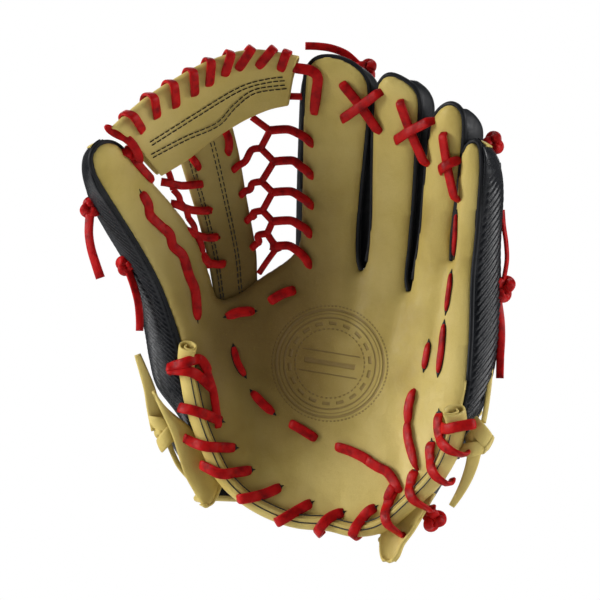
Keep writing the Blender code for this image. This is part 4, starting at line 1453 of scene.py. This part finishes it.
PADS = {
    "heel_pad": [((6, -4), (26, -7), (46, -8)), ((6, 14), (38, 10), (68, 10)), ((6, 30), (44, 29), (82, 28)),
                 ((30, 62), (60, 61), (90, 60))],
    "thumb_pad": [((-38, 18), (-24, 10), (-8, 2)), ((-48, 40), (-30, 32), (-12, 26)),
                  ((-56, 60), (-36, 55), (-16, 50)), ((-60, 84), (-50, 84), (-40, 84))],
}
LININGS = {
    "palm_lining": [((4, -2), (22, -5), (40, -6)), ((4, 30), (42, 29), (80, 28)),
                    ((4, 70), (48, 69), (92, 68)), ((4, 134), (50, 132), (96, 130))],
    "thumb_lining": [((-40, 22), (-23, 11), (-7, 0)), ((-56, 60), (-31, 58), (-7, 56)),
                     ((-64, 96), (-35, 116), (-7, 136))],
}
HIDDEN_LOOKS = {"thumb_stay": BOARD, "pinky_stay": BOARD, "thumb_loop": LINING, "pinky_loop": LINING}


def cushion(front):
    """Points and faces of a pad that swells before and behind a grid and closes at its edges."""
    tall, wide = len(front), len(front[0])
    points, faces = [], []
    for side, rise in ((0, -2.3), (1, 2.4)):
        for r, row in enumerate(front):
            for c, point in enumerate(row):
                u, v = 2.0 * c / (wide - 1) - 1.0, 2.0 * r / (tall - 1) - 1.0
                full = math.sqrt(max((1.0 - u ** 6) * (1.0 - v ** 6), 0.0))
                points.append(point + inward(point.x) * (2.2 + rise * full))
        for r in range(tall - 1):
            for c in range(wide - 1):
                at = side * tall * wide + r * wide + c
                ring = (at, at + 1, at + wide + 1, at + wide)
                faces.append(ring[::-1] if side else ring)
    return points, faces


def build_inside():
    """The felt pads, the soft lining the hand lies on, and the looks of the stays and loops."""
    for name, rows in PADS.items():
        pad = new_object(name + "_felt", *cushion(plate_grid(rows, 4.0, columns=18)), FELT)
        mend(pad, weld=0.1)
        settle(pad, "fold", name)
    for name, rows in LININGS.items():
        leather(name + "_leather", plate_grid(rows, 9.8, columns=22), 1.1, LINING, "fold", name)
    for node, material in HIDDEN_LOOKS.items():
        held = bpy.data.objects[node]
        held.data.materials.clear()
        held.data.materials.append(material)


# --- camera, light and floor ----------------------------------------------------

def link_new(name, data, place):
    """A new object in the scene at a place."""
    made = bpy.data.objects.new(name, data)
    made.location = place
    bpy.context.scene.collection.objects.link(made)
    return made


LIGHTS = (
    # name, place, what it looks at, width in metres, watts
    ("left_light", (-1.6, -0.24, 0.5), (-0.02, -0.03, 0.13), 0.8, 27.0),
    ("right_light", (1.6, -0.28, 0.4), (0.02, -0.03, 0.13), 0.8, 18.0),
    ("top_light", (0.1, -0.34, 1.75), (0.0, -0.03, 0.13), 0.8, 5.5),
    ("back_light", (0.0, 1.6, 0.9), (0.0, 0.0, 0.13), 1.2, 12.0),
)
CAMERA_PLACE = (0.0, -2.207, 0.12675)
FLOOR_Z = -0.2
GLOW = 0.11


def build_studio():
    """A camera square to the palm, soft lights and a pale floor below it."""
    lens = bpy.data.cameras.new("camera")
    lens.lens = 200.0
    lens.sensor_width = 36.0
    lens.clip_end = 20.0
    camera = link_new("camera", lens, CAMERA_PLACE)
    camera.rotation_euler = (math.radians(90), 0.0, 0.0)
    bpy.context.scene.camera = camera
    for name, place, aim, size, power in LIGHTS:
        lamp = bpy.data.lights.new(name, "AREA")
        lamp.size = size
        lamp.energy = power
        light = link_new(name, lamp, place)
        light.rotation_euler = (Vector(aim) - Vector(place)).to_track_quat("-Z", "Y").to_euler()
    disc = bmesh.new()
    bmesh.ops.create_circle(disc, cap_ends=True, segments=96, radius=1.2)
    data = bpy.data.meshes.new("floor")
    disc.to_mesh(data)
    disc.free()
    data.materials.append(Finish("pale_floor", (0.83, 0.83, 0.82), 0.8).material)
    link_new("floor", data, (0.0, 0.0, FLOOR_Z))


def build_world():
    """White where the camera sees it, and a faint glow everywhere else."""
    world = bpy.data.worlds.new("studio")
    bpy.context.scene.world = world
    world.use_nodes = True
    tree = world.node_tree
    tree.nodes.clear()
    pick = tree.nodes.new("ShaderNodeMixShader")
    for k, strength in ((1, GLOW), (2, 1.0)):
        sky = tree.nodes.new("ShaderNodeBackground")
        sky.inputs["Color"].default_value = (1.0, 1.0, 1.0, 1.0)
        sky.inputs["Strength"].default_value = strength
        tree.links.new(sky.outputs[0], pick.inputs[k])
    ray = tree.nodes.new("ShaderNodeLightPath")
    out = tree.nodes.new("ShaderNodeOutputWorld")
    tree.links.new(ray.outputs["Is Camera Ray"], pick.inputs[0])
    tree.links.new(pick.outputs[0], out.inputs["Surface"])
    bpy.context.scene.view_settings.view_transform = "Standard"


build_studio()
build_world()
build_palm()
build_backs()
build_hand_back()
build_bands()
build_welts()
build_bar()
build_post()
build_bar_wraps()
build_index_lattice()
build_thumb_lattice()
build_binding()
build_heel_lacing()
build_finger_laces()
build_thumb_face()
build_palm_laces()
build_knots()
build_tails()
build_flaps()
build_inside()
